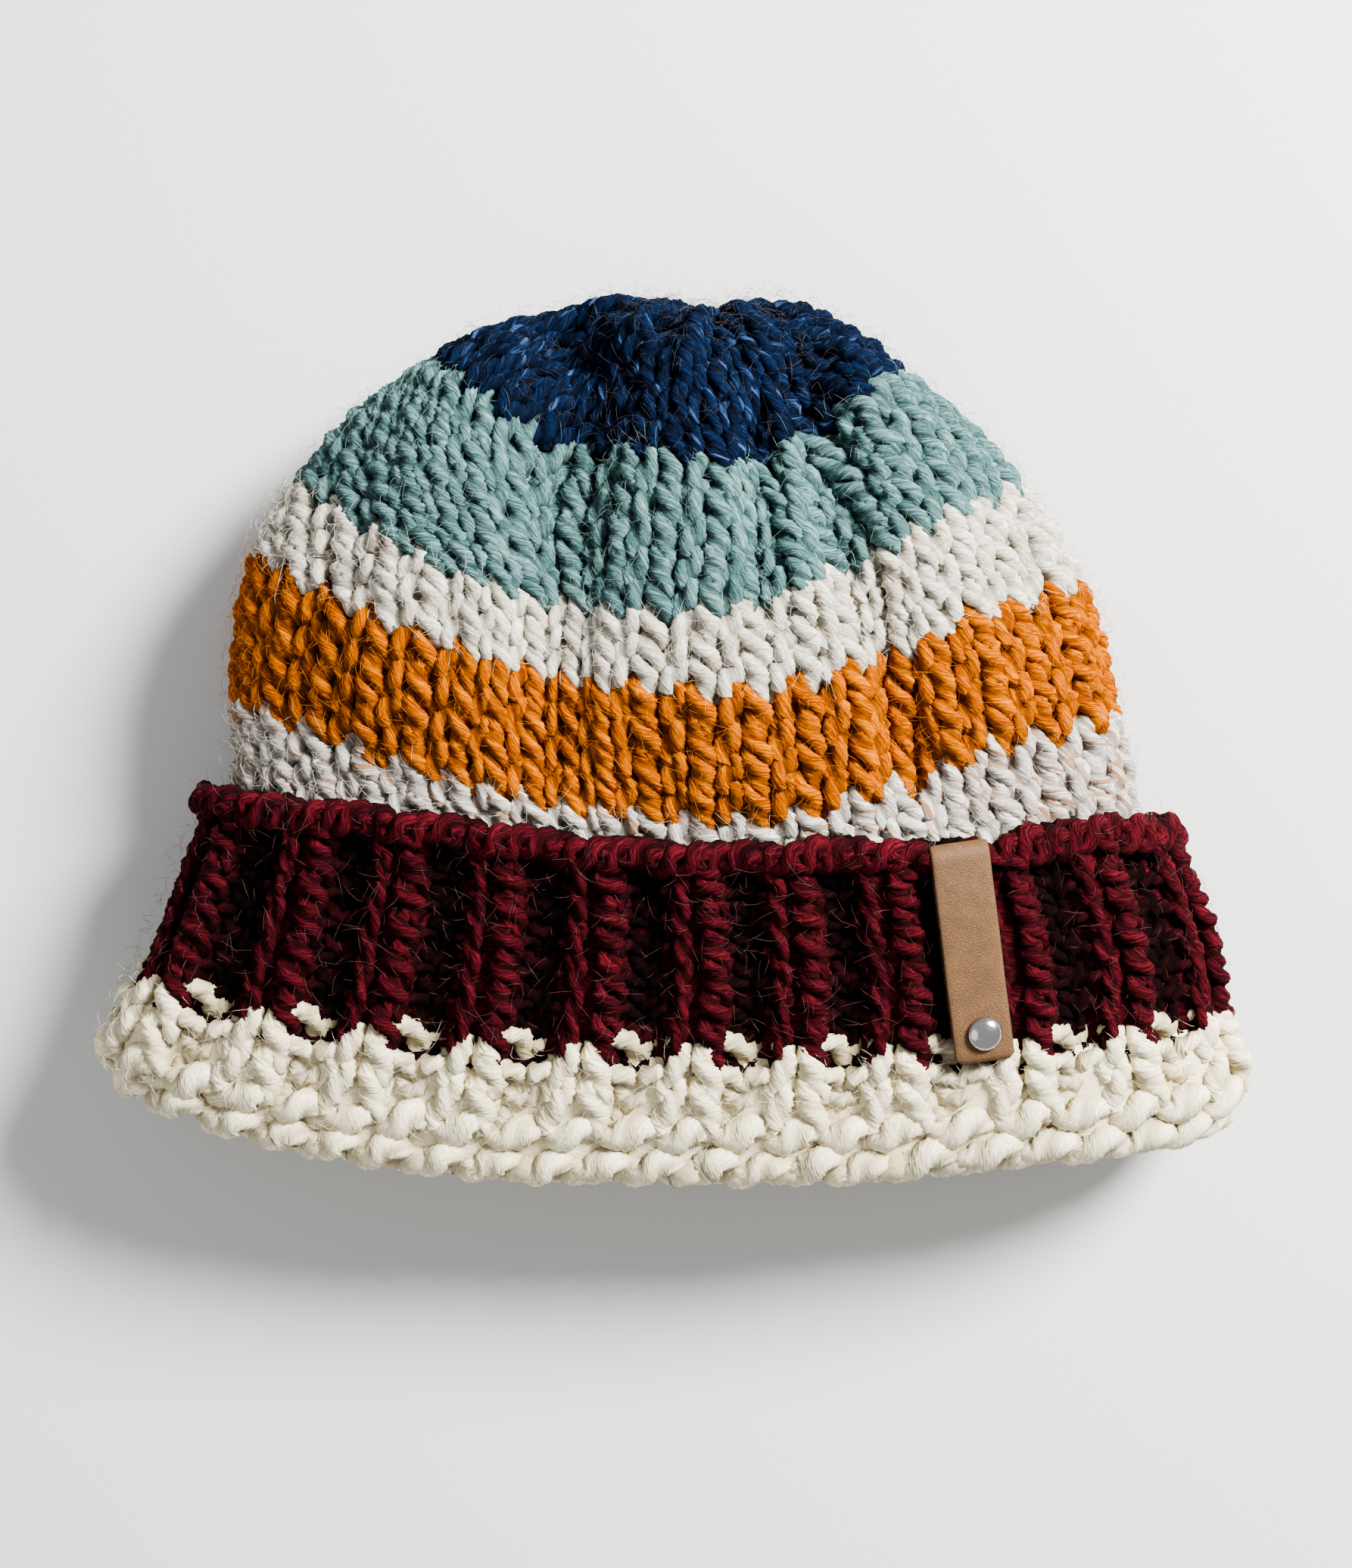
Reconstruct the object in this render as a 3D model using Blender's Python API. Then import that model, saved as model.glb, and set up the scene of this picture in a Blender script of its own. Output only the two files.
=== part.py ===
"""Knitted beanie with a turned-up ribbed cuff and a riveted leather tag.

The hat lies on its back: +Z is up, the crown points to +Y and the opening to -Y. Sizes are metres.
The body fabric is one surface, read by two parameters: around, from 0 to 1 once round the hat from
the middle of the front, and row, the knitted row counted from the rim. Every piece is a stretch of
that surface with a thickness, so the bands, the cuff and the tag all follow the same shape.
"""

import math
from collections import namedtuple

import bpy
import numpy as np

# The hat's own sizes
LENGTH = 0.200          # from the rim to the crown, lying down
BODY_WIDTH = 0.198      # across the bands
PUFF_HEIGHT = 0.061     # from the floor to the top of the front
KNIT_WALL = 0.006       # thickness of the body fabric
CUFF_WALL = 0.0075      # thickness of the ribbed cuff at a rib
RIB_DEPTH = 0.003       # from the top of a rib to the bottom of a trough
CROWN_PLEAT = 0.0015    # height of the gathers round the crown
NUB_HEIGHT = 0.004      # the cinched stitches at the middle of the crown
CLEARANCE = 0.0003      # between pieces that touch
CUFF_GAP = 0.0008       # between the cuff and the body fabric inside it

# Counts
RIBS = 22
PLEATS = 9
POINTS_PER_RIB = 4
AROUND = RIBS * POINTS_PER_RIB

# Where the yarn changes, in rows from the rim
HEM_ROW = 3.7
OATMEAL_TOP = 13.0
MUSTARD_TOP = 17.0
WHITE_TOP = 20.0
TEAL_TOP = 25.0
CROWN_END = 31.0
CROWN_INSIDE_END = 29.0
OATMEAL_ROWS = (HEM_ROW, 6.0, 9.0, 11.6, OATMEAL_TOP)   # close together where the cuff ends over it

# The cuff's top edge, in body rows at the side and in the middle, and the share of it that is cream
CUFF_ROWS_SIDE = 9.65
CUFF_ROWS_MIDDLE = 12.1
CREAM_SHARE = 0.31

# Leather tag and rivet
TAG_WIDTH = 0.0127
TAG_THICKNESS = 0.0016
TAG_AROUND = 0.134      # its place round the hat at the cuff's top edge
TAG_LEAN = 0.005        # how far it leans round the hat towards the rim
TAG_FOOT = 0.315        # its lower end, as a share of the cuff from the rim
TAG_TURN = 0.957        # where it starts to turn over the top edge, in the same shares
TAG_SINK = 0.0012       # how far it presses into the ribs
TAG_STATIONS = 8        # along each leg
RIVET_RADIUS = 0.0037
RIVET_DOME = 0.0023
RIVET_RIM = 0.0004      # height of the head's straight edge
RIVET_SIDES = 16
SHANK_RADIUS = 0.0013
TAIL_RADIUS = 0.0028
TAIL_THICKNESS = 0.0007
RIVET_PLACE = 0.405     # as a share of the cuff from the rim

# Stations of the cuff between its edges, as shares of its height, and angles round its folded rim
BURGUNDY_SHARES = (0.50, 0.75, 0.96)
CREAM_SHARES = (0.20, 0.10)
RIM_SHARE = 0.02
RIM_ANGLES = (40, 75, 105, 140)
TURN_ANGLES = (36, 72, 108, 144)
SLIT_END_ROW = 0.3      # how near the rim the gap between its two layers comes

# One row for each cross-section. row: knitted row. side: place of its sides along the hat, and bow: how
# much nearer the rim its middle is, as shares of LENGTH. power: how square the bow is. middle and half:
# its centre and half width, as shares of BODY_WIDTH. top, low, edge: heights of its top, its underside
# and its widest point, as shares of PUFF_HEIGHT; lift: the share of the cuff's wall that lies under it.
# square: how flat its top is. corner: the rounded share of its underside.
Section = namedtuple("Section", "row side bow power middle half top low lift edge square corner")
SECTIONS = (
    Section(0.0, -0.359, 0.082, 3.0, 0.007, 0.596, 0.62, 0.00, 1.0, 0.35, 7.0, 0.16),
    Section(1.5, -0.323, 0.082, 2.8, 0.009, 0.613, 0.65, 0.00, 1.0, 0.36, 6.5, 0.16),
    Section(3.0, -0.272, 0.081, 2.5, 0.012, 0.592, 0.69, 0.00, 1.0, 0.36, 6.0, 0.16),
    Section(6.0, -0.176, 0.072, 2.2, 0.020, 0.562, 0.75, 0.00, 1.0, 0.36, 5.0, 0.17),
    Section(10.0, -0.046, 0.087, 2.0, 0.013, 0.514, 0.83, 0.00, 1.0, 0.36, 3.8, 0.18),
    Section(11.5, 0.003, 0.105, 2.0, 0.008, 0.510, 0.86, 0.00, 1.0, 0.36, 3.3, 0.20),
    Section(13.0, 0.051, 0.122, 2.0, -0.002, 0.505, 0.89, 0.00, 0.5, 0.36, 2.8, 0.22),
    Section(15.0, 0.128, 0.128, 2.0, -0.009, 0.494, 0.95, 0.00, 0.0, 0.36, 2.5, 0.23),
    Section(17.0, 0.205, 0.133, 2.0, -0.015, 0.475, 0.99, 0.00, 0.0, 0.36, 2.3, 0.25),
    Section(20.0, 0.304, 0.146, 2.0, -0.021, 0.416, 1.00, 0.00, 0.0, 0.36, 2.2, 0.30),
    Section(22.5, 0.374, 0.138, 2.0, -0.023, 0.354, 0.96, 0.00, 0.0, 0.36, 2.1, 0.38),
    Section(25.0, 0.436, 0.112, 2.0, -0.021, 0.268, 0.86, 0.02, 0.0, 0.38, 2.0, 0.55),
    Section(27.0, 0.474, 0.072, 2.0, -0.005, 0.193, 0.76, 0.10, 0.0, 0.42, 2.0, 0.80),
    Section(29.0, 0.500, 0.031, 2.0, 0.008, 0.112, 0.66, 0.22, 0.0, 0.44, 2.0, 1.00),
    Section(30.3, 0.503, 0.008, 2.0, 0.016, 0.052, 0.57, 0.33, 0.0, 0.45, 2.0, 1.00),
    Section(31.0, 0.495, 0.000, 2.0, 0.020, 0.018, 0.50, 0.41, 0.0, 0.455, 2.0, 1.00),
)

# One row for each long fold of the front, from the crown down: its rows, its place across as shares of
# BODY_WIDTH, its half width in the same shares, and how high it stands as shares of PUFF_HEIGHT.
Fold = namedtuple("Fold", "name row_from row_to across_from across_to half_width rise_from rise_to")
FOLDS = (
    Fold("left_valley", 27.5, 14.5, -0.120, -0.135, 0.080, -0.17, -0.06),
    Fold("left_shoulder", 27.0, 15.0, -0.230, -0.330, 0.090, 0.06, 0.03),
    Fold("middle_panel", 27.5, 14.5, 0.020, 0.060, 0.110, 0.05, 0.04),
    Fold("right_valley", 26.5, 14.0, 0.130, 0.260, 0.045, -0.11, -0.07),
    Fold("right_shoulder", 26.0, 15.0, 0.200, 0.370, 0.075, 0.05, 0.04),
)
FOLD_FADE = 1.5         # rows over which a fold dies out at each end

SURFACE_ROWS = 311
SURFACE_POINTS = 704
SECTION_POINTS = 240

# Colours of the yarns and fittings
NAVY = (0.020, 0.045, 0.130)
TEAL = (0.195, 0.360, 0.330)
WHITE = (0.760, 0.720, 0.650)
MUSTARD = (0.620, 0.210, 0.012)
OATMEAL = (0.600, 0.560, 0.510)
BURGUNDY = (0.085, 0.006, 0.018)
CREAM = (0.820, 0.760, 0.640)
TAN_LEATHER = (0.420, 0.235, 0.105)
SILVER = (0.620, 0.620, 0.620)


def clear_scene():
    for old in list(bpy.data.objects):
        bpy.data.objects.remove(old, do_unlink=True)


def column(name, rows):
    """A column of SECTIONS at any rows: cubic stretches whose slopes keep rises and falls."""
    at = np.array([section.row for section in SECTIONS])
    values = np.array([getattr(section, name) for section in SECTIONS])
    step = np.diff(at)
    slope = np.diff(values) / step
    ends = np.concatenate([slope[:1], slope[:-1] + slope[1:], slope[-1:]])
    product = slope[:-1] * slope[1:]
    total = np.where(ends[1:-1] == 0, 1.0, ends[1:-1])
    tangent = np.concatenate([slope[:1], np.where(product > 0, 2 * product / total, 0.0), slope[-1:]])
    k = np.clip(np.searchsorted(at, rows, side="right") - 1, 0, len(step) - 1)
    t = (rows - at[k]) / step[k]
    return (
        values[k] * (1 + 2 * t) * (1 - t) ** 2
        + values[k + 1] * t**2 * (3 - 2 * t)
        + tangent[k] * step[k] * t * (1 - t) ** 2
        - tangent[k + 1] * step[k] * t**2 * (1 - t)
    )


def bump(distance):
    """1 in the middle and 0 from a distance of 1 on, smooth at both."""
    return np.where(np.abs(distance) < 1, 0.5 + 0.5 * np.cos(np.pi * distance), 0.0)


def section_outline(half, low, edge, top, square, corner):
    """A closed cross-section from the middle of its top round +X: a squared ellipse above, then a
    quarter ellipse down to a flat underside, and the same back up the other side."""
    quarter = np.linspace(0, np.pi / 2, SECTION_POINTS)
    dome = np.sqrt(1 - np.sin(quarter) ** square)
    upper = np.stack([half * np.sin(quarter), edge + (top - edge) * dome], axis=1)
    flat = half * (1 - corner)
    lower = np.stack(
        [flat + (half - flat) * np.cos(quarter), edge - (edge - low) * np.sin(quarter)], axis=1
    )
    right = np.concatenate([upper, lower[1:], [[0.0, low]]])
    left = right[::-1] * (-1, 1)
    return np.concatenate([right, left[1:]])


def even_points(outline, shares):
    """Points of an outline at the given shares of its length."""
    steps = np.linalg.norm(np.diff(outline, axis=0), axis=1)
    along = np.concatenate([[0.0], np.cumsum(steps)]) / steps.sum()
    return np.stack([np.interp(shares, along, outline[:, axis]) for axis in (0, 1)], axis=1)


def fold_rise(rows, across, front):
    """Height of the long folds: each is a bump across its line and fades at its ends."""
    rise = np.zeros_like(across)
    for fold in FOLDS:
        share = np.clip((fold.row_from - rows) / (fold.row_from - fold.row_to), 0, 1)
        line = fold.across_from + (fold.across_to - fold.across_from) * share
        height = fold.rise_from + (fold.rise_to - fold.rise_from) * share
        inside = np.clip((fold.row_from + FOLD_FADE - rows) / FOLD_FADE, 0, 1)
        inside *= np.clip((rows - fold.row_to + FOLD_FADE) / FOLD_FADE, 0, 1)
        rise += height * bump((across - line) / fold.half_width) * inside * front
    return PUFF_HEIGHT * rise


class HatSurface:
    """The outer face of the body fabric on a fine grid of rows and places round, with its normals."""

    def __init__(self):
        self.rows = np.linspace(0, CROWN_END, SURFACE_ROWS)
        self.shares = np.arange(SURFACE_POINTS + 1) / SURFACE_POINTS
        lift = (CUFF_WALL + CUFF_GAP) * column("lift", self.rows)
        half = BODY_WIDTH * column("half", self.rows)
        top, low, edge = (PUFF_HEIGHT * column(name, self.rows) for name in ("top", "low", "edge"))
        square, corner = column("square", self.rows), column("corner", self.rows)
        outlines = np.stack([
            even_points(section_outline(*values), self.shares)
            for values in zip(half, low + lift, edge, top, square, corner)
        ])
        across = outlines[..., 0] / half[:, None]
        bow = column("bow", self.rows)[:, None]
        power = column("power", self.rows)[:, None]
        middle = BODY_WIDTH * column("middle", self.rows)[:, None]
        side = column("side", self.rows)[:, None]
        along = LENGTH * (side - bow * (1 - np.abs(across) ** power))
        self.points = np.stack([middle + outlines[..., 0], along, outlines[..., 1]], axis=-1)
        self.normals = self.outward()
        rows = self.rows[:, None] + 0 * across
        front = np.clip((outlines[..., 1] - edge[:, None]) / (0.5 * (top - edge))[:, None], 0, 1)
        rise = fold_rise(rows, self.points[..., 0] / BODY_WIDTH, front)
        gathered = np.clip((rows - TEAL_TOP) / 3, 0, 1) * np.clip((CROWN_END - rows) / 1.5, 0, 1)
        standing = np.clip(outlines[..., 1] / KNIT_WALL, 0, 1)
        rise += CROWN_PLEAT * np.cos(2 * np.pi * PLEATS * self.shares) * gathered * standing
        self.points = self.points + rise[..., None] * self.normals
        self.normals = self.outward()
        self.rises = np.cross(self.round_hat(), self.normals)
        self.rises /= -np.linalg.norm(self.rises, axis=-1, keepdims=True)

    def round_hat(self):
        """Differences between neighbours round the hat, which is closed."""
        closed = np.concatenate([self.points[:, -2:-1], self.points, self.points[:, 1:2]], axis=1)
        return closed[:, 2:] - closed[:, :-2]

    def outward(self):
        """Unit normals of the grid."""
        normal = np.cross(self.round_hat(), np.gradient(self.points, axis=0))
        return normal / np.linalg.norm(normal, axis=-1, keepdims=True)

    def read(self, grid, around, rows):
        """A grid's values between its points, in straight lines."""
        i = np.clip(rows / CROWN_END, 0, 1) * (SURFACE_ROWS - 1)
        j = np.mod(around, 1.0) * SURFACE_POINTS
        i0 = np.minimum(i.astype(int), SURFACE_ROWS - 2)
        j0 = np.minimum(j.astype(int), SURFACE_POINTS - 1)
        s, t = (i - i0)[..., None], (j - j0)[..., None]
        near = grid[i0, j0] * (1 - t) + grid[i0, j0 + 1] * t
        far = grid[i0 + 1, j0] * (1 - t) + grid[i0 + 1, j0 + 1] * t
        return near * (1 - s) + far * s

    def at(self, around, rows, offset=0.0, crownward=0.0):
        """Points at a height over the outer face, below it where the height is negative, and a little
        nearer the crown or the rim than their row, square to it."""
        around, rows = np.broadcast_arrays(np.asarray(around, float), np.asarray(rows, float))
        normal = self.read(self.normals, around, rows)
        normal /= np.linalg.norm(normal, axis=-1, keepdims=True)
        moved = np.asarray(offset)[..., None] * normal + crownward * self.read(self.rises, around, rows)
        return self.read(self.points, around, rows) + moved

    def directions(self, around, row):
        """Unit vectors at one place: round the hat, towards the crown, and outward."""
        step = 0.02
        out = self.read(self.normals, np.array([around]), np.array([row]))[0]
        up = (self.at([around], [row + step]) - self.at([around], [row - step]))[0]
        round_hat = np.cross(up, out)
        round_hat /= np.linalg.norm(round_hat)
        out = np.cross(round_hat, up)
        out /= np.linalg.norm(out)
        return round_hat, np.cross(out, round_hat), out


def places_round():
    return np.arange(AROUND) / AROUND


def cuff_rows(hat, around, share):
    """Body rows of the cuff at a share of its height: its top edge bows less than the rows do."""
    points = hat.at(around, 6.0)
    reach = BODY_WIDTH * column("half", np.array([6.0]))[0]
    middle = BODY_WIDTH * column("middle", np.array([6.0]))[0]
    across = np.clip(np.abs(points[..., 0] - middle) / reach, 0, 1)
    return share * (CUFF_ROWS_MIDDLE + (CUFF_ROWS_SIDE - CUFF_ROWS_MIDDLE) * across**2)


def rib_dip(around):
    """Depth of the troughs between the ribs, a cosine round the hat."""
    return RIB_DEPTH * (0.5 - 0.5 * np.cos(2 * np.pi * RIBS * around))


def mesh_object(name, vertices, faces, colour, roughness=0.95, metallic=0.0):
    mesh = bpy.data.meshes.new(name)
    mesh.from_pydata(vertices.tolist(), [], faces)
    mesh.update()
    material = bpy.data.materials.new(name)
    material.use_nodes = True
    shader = material.node_tree.nodes["Principled BSDF"]
    shader.inputs["Base Color"].default_value = (*colour, 1.0)
    shader.inputs["Roughness"].default_value = roughness
    shader.inputs["Metallic"].default_value = metallic
    material.diffuse_color = (*colour, 1.0)
    mesh.materials.append(material)
    mesh.shade_smooth()
    made = bpy.data.objects.new(name, mesh)
    bpy.context.collection.objects.link(made)
    return made


def band_between(first, second, count):
    """Triangles between two closed loops that start at the given vertices."""
    faces = []
    for k in range(count):
        after = (k + 1) % count
        faces += [(first + k, first + after, second + after), (first + k, second + after, second + k)]
    return faces


def ring_mesh(loops, outer_last):
    """A closed ring: each loop goes round the hat, and the last one joins the first. Where two pieces
    meet, their ends are split from the inner face's corner to the outer face's next one, so that both
    have the same triangles; a ring whose last loop is on its outer face closes the other way."""
    count = len(loops[0])
    faces = []
    for k in range(len(loops) - 1):
        faces += band_between(k * count, (k + 1) * count, count)
    last = (len(loops) - 1) * count
    if outer_last:
        faces += [face[::-1] for face in band_between(0, last, count)]
    else:
        faces += band_between(last, 0, count)
    return np.concatenate(loops), faces


def cap_mesh(loops, outer_pole, inner_pole):
    """A cap with a wall: loops run from the inner pole down the inside and up the outside."""
    count = len(loops[0])
    faces = []
    for k in range(len(loops) - 1):
        faces += band_between(k * count, (k + 1) * count, count)
    inner, outer = len(loops) * count, len(loops) * count + 1
    last = (len(loops) - 1) * count
    faces += [(inner, (k + 1) % count, k) for k in range(count)]
    faces += [(outer, last + k, last + (k + 1) % count) for k in range(count)]
    return np.concatenate([*loops, [inner_pole], [outer_pole]]), faces


def band_loops(hat, rows):
    """A knitted tube through the given rows: down its inner face and up its outer face. Its ends stand
    back from their rows by half the clearance."""
    back = np.zeros(len(rows))
    back[0], back[-1] = 0.5 * CLEARANCE, -0.5 * CLEARANCE
    outer = [hat.at(places_round(), row, 0.0, shift) for row, shift in zip(rows, back)]
    inner = [hat.at(places_round(), row, -KNIT_WALL, shift) for row, shift in zip(rows, back)]
    return inner[::-1] + outer


def crown_loops(hat):
    """The crown: inside from near the pole down to its lower edge, then up the outside."""
    inner_rows = np.linspace(TEAL_TOP, CROWN_INSIDE_END, 3)
    outer_rows = np.linspace(TEAL_TOP, CROWN_END, 7)
    back = np.zeros(len(outer_rows))
    back[0] = 0.5 * CLEARANCE
    inner = [hat.at(places_round(), row, -KNIT_WALL, shift) for row, shift in zip(inner_rows, back)]
    outer = [hat.at(places_round(), row, 0.0, shift) for row, shift in zip(outer_rows, back)]
    return inner[::-1] + outer


def cuff_face(hat, share, height, ribbed=False, crownward=0.0):
    """A loop of the cuff at a height over the body fabric, with the ribs where it is the outer face."""
    around = places_round()
    dip = rib_dip(around) if ribbed else 0.0
    return hat.at(around, cuff_rows(hat, around, share), height - dip, crownward)


def burgundy_loops(hat):
    """The ribbed ring: down its inner face, then up the outer one and over its rounded top edge."""
    back = 0.5 * CLEARANCE
    high = CUFF_WALL + CUFF_GAP
    inner = [cuff_face(hat, share, CUFF_GAP) for share in BURGUNDY_SHARES[::-1]]
    foot = [cuff_face(hat, CREAM_SHARE, CUFF_GAP, False, back)]
    foot.append(cuff_face(hat, CREAM_SHARE, high, True, back))
    outer = [cuff_face(hat, share, high, True) for share in BURGUNDY_SHARES]
    edge = [cuff_face(hat, 1.0, CUFF_GAP + 0.5 * CUFF_WALL)]
    return inner + foot + outer + edge


def cream_loops(hat):
    """The folded rim: two layers and the round fold that joins them at the rim."""
    around = places_round()
    high = CUFF_WALL + CUFF_GAP
    back = -0.5 * CLEARANCE
    radius = 0.5 * (high + KNIT_WALL)
    centre = high - radius
    start = hat.at(around, 0.0)
    outward = hat.at(around, 0.0, 1.0) - start
    rimward = start - hat.at(around, SLIT_END_ROW)
    rimward /= np.linalg.norm(rimward, axis=1, keepdims=True)
    slit = [hat.at(around, HEM_ROW, 0.0, back)]
    slit += [hat.at(around, row) for row in (0.5 * HEM_ROW, SLIT_END_ROW)]
    slit += [hat.at(around, row, CUFF_GAP) for row in (SLIT_END_ROW, 0.5 * HEM_ROW)]
    slit.append(cuff_face(hat, CREAM_SHARE, CUFF_GAP, False, back))
    outer = [cuff_face(hat, CREAM_SHARE, high, True, back)]
    outer += [cuff_face(hat, share, high, True) for share in CREAM_SHARES]
    outer.append(cuff_face(hat, RIM_SHARE, high - 0.5 * rib_dip(around)))
    fold = [
        start + (centre + radius * math.cos(a)) * outward + radius * math.sin(a) * rimward
        for a in np.radians(RIM_ANGLES)
    ]
    inside = [hat.at(around, row, -KNIT_WALL) for row in (SLIT_END_ROW, 0.5 * HEM_ROW)]
    inside.append(hat.at(around, HEM_ROW, -KNIT_WALL, back))
    return slit + outer + fold + inside


def tag_path(hat, longer=0.0):
    """Stations of the tag: up the front of the cuff, round its top edge and down behind it. Each is a
    centre with its direction across the strip and its outward direction."""
    front = CUFF_GAP + CUFF_WALL - TAG_SINK + 0.5 * TAG_THICKNESS
    back = CUFF_GAP + TAIL_THICKNESS + CLEARANCE + 0.5 * TAG_THICKNESS
    centre, radius = 0.5 * (front + back), 0.5 * (front - back)
    cuff_height = CUFF_ROWS_MIDDLE * LENGTH / CROWN_END
    shares = np.linspace(TAG_FOOT - longer / cuff_height, TAG_TURN, TAG_STATIONS)
    stations = [(share, front, 1.0, 0.0) for share in shares]
    for angle in np.radians(TURN_ANGLES):
        past = radius * math.sin(angle) / cuff_height
        height = centre + radius * math.cos(angle)
        stations.append((TAG_TURN + past, height, math.cos(angle), math.sin(angle)))
    stations += [(share, back, -1.0, 0.0) for share in shares[::-1]]
    path = []
    for share, height, out_part, up_part in stations:
        around = TAG_AROUND + TAG_LEAN * (1.0 - share)
        row = float(cuff_rows(hat, np.array(around), share))
        round_hat, up, out = hat.directions(around, row)
        point = hat.at([around], [row], height)[0]
        path.append((point, round_hat, out_part * out + up_part * up))
    return path


def strip_mesh(path, half_width, outer, inner):
    """A flat strip along a path, with its thickness counted outward and inward from the path."""
    rings = [
        np.array([
            point + half_width * across + outer * out,
            point - half_width * across + outer * out,
            point - half_width * across - inner * out,
            point + half_width * across - inner * out,
        ])
        for point, across, out in path
    ]
    faces = []
    for k in range(len(rings) - 1):
        faces += band_between(4 * k, 4 * k + 4, 4)
    last = 4 * (len(rings) - 1)
    faces += [(3, 2, 1, 0), (last, last + 1, last + 2, last + 3)]
    return np.concatenate(rings), faces


def rivet_frame(hat):
    """Where the rivet's axis meets the body fabric, and its directions."""
    around = TAG_AROUND + TAG_LEAN * (1.0 - RIVET_PLACE)
    row = float(cuff_rows(hat, np.array(around), RIVET_PLACE))
    round_hat, up, out = hat.directions(around, row)
    return hat.at([around], [row])[0], round_hat, up, out


def turned_mesh(profile, frame):
    """A profile of radius and height turned round the rivet's axis. It starts and ends on the axis."""
    origin, round_hat, up, out = frame
    sides = RIVET_SIDES
    angles = 2 * np.pi * np.arange(sides) / sides
    loops = [
        origin
        + height * out
        + radius * (np.cos(angles)[:, None] * round_hat + np.sin(angles)[:, None] * up)
        for radius, height in profile[1:-1]
    ]
    faces = []
    for k in range(len(loops) - 1):
        faces += band_between(k * sides, (k + 1) * sides, sides)
    first, end = len(loops) * sides, len(loops) * sides + 1
    last = (len(loops) - 1) * sides
    faces += [(first, (k + 1) % sides, k) for k in range(sides)]
    faces += [(end, last + k, last + (k + 1) % sides) for k in range(sides)]
    poles = [origin + profile[0][1] * out, origin + profile[-1][1] * out]
    return np.concatenate([*loops, poles]), faces


def rivet_profile():
    """The tail behind the tag's back leg, the shank, and the domed head in front."""
    tail = CUFF_GAP
    seat = CUFF_GAP + CUFF_WALL - TAG_SINK + TAG_THICKNESS + CLEARANCE
    dome = [
        (RIVET_RADIUS * math.cos(a), seat + RIVET_RIM + (RIVET_DOME - RIVET_RIM) * math.sin(a))
        for a in np.radians((0, 22, 45, 68))
    ]
    return [
        (0.0, tail),
        (TAIL_RADIUS, tail),
        (TAIL_RADIUS, tail + TAIL_THICKNESS),
        (SHANK_RADIUS, tail + TAIL_THICKNESS),
        (SHANK_RADIUS, seat),
        (RIVET_RADIUS, seat),
        *dome,
        (0.0, seat + RIVET_DOME),
    ]


def cut(piece, cutter):
    """Takes a hidden cutter out of a piece."""
    cutter.hide_render = True
    cutter.display_type = "WIRE"
    difference = piece.modifiers.new("cut " + cutter.name, "BOOLEAN")
    difference.operation = "DIFFERENCE"
    difference.solver = "EXACT"
    difference.object = cutter


def facing_out(vertices, faces):
    """The faces, turned round where they enclose a negative volume."""
    volume = 0.0
    for face in faces:
        for k in range(1, len(face) - 1):
            a, b, c = vertices[face[0]], vertices[face[k]], vertices[face[k + 1]]
            volume += np.dot(a, np.cross(b, c))
    return faces if volume > 0 else [face[::-1] for face in faces]


def main():
    clear_scene()
    hat = HatSurface()
    bands = {
        "band_oatmeal": (band_loops(hat, OATMEAL_ROWS), OATMEAL),
        "band_mustard": (band_loops(hat, np.linspace(OATMEAL_TOP, MUSTARD_TOP, 3)), MUSTARD),
        "band_white": (band_loops(hat, (MUSTARD_TOP, WHITE_TOP)), WHITE),
        "band_teal": (band_loops(hat, np.linspace(WHITE_TOP, TEAL_TOP, 4)), TEAL),
        "cuff_burgundy": (burgundy_loops(hat), BURGUNDY),
        "cuff_cream_edge": (cream_loops(hat), CREAM),
    }
    shapes = {
        name: (*ring_mesh(loops, name != "cuff_cream_edge"), colour)
        for name, (loops, colour) in bands.items()
    }
    pole = hat.at(places_round(), CROWN_END).mean(axis=0)
    inner_pole = hat.at(places_round(), CROWN_INSIDE_END, -KNIT_WALL).mean(axis=0)
    nub = pole + (0.0, NUB_HEIGHT, 0.0)
    shapes["crown_top"] = (*cap_mesh(crown_loops(hat), nub, inner_pole), NAVY)

    path = tag_path(hat)
    thin = 0.5 * TAG_THICKNESS
    shapes["leather_tag"] = (*strip_mesh(path, 0.5 * TAG_WIDTH, thin, thin), TAN_LEATHER)
    shapes["rivet"] = (*turned_mesh(rivet_profile(), rivet_frame(hat)), SILVER)
    wide_path = tag_path(hat, CLEARANCE)
    room = strip_mesh(wide_path, 0.5 * TAG_WIDTH + CLEARANCE, thin + RIB_DEPTH, thin + CLEARANCE)
    shapes["tag_room"] = (*room, TAN_LEATHER)
    hole_radius, hole_end = SHANK_RADIUS + CLEARANCE, 2 * CUFF_WALL
    through = [(0.0, -KNIT_WALL), (hole_radius, -KNIT_WALL), (hole_radius, hole_end), (0.0, hole_end)]
    shapes["rivet_hole"] = (*turned_mesh(through, rivet_frame(hat)), SILVER)

    knitted = np.concatenate([shapes[name][0] for name in (*bands, "crown_top")])
    lowest, highest = knitted.min(axis=0), knitted.max(axis=0)
    origin = np.array([*(0.5 * (lowest + highest))[:2], lowest[2]])
    made = {}
    for name, (vertices, faces, colour) in shapes.items():
        finish = {"rivet": (0.15, 1.0), "leather_tag": (0.6, 0.0)}.get(name, (0.95, 0.0))
        moved = vertices - origin
        made[name] = mesh_object(name, moved, facing_out(moved, faces), colour, *finish)
    for name in ("cuff_burgundy", "cuff_cream_edge"):
        cut(made[name], made["tag_room"])
        cut(made[name], made["rivet_hole"])
    cut(made["leather_tag"], made["rivet_hole"])


main()
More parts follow.
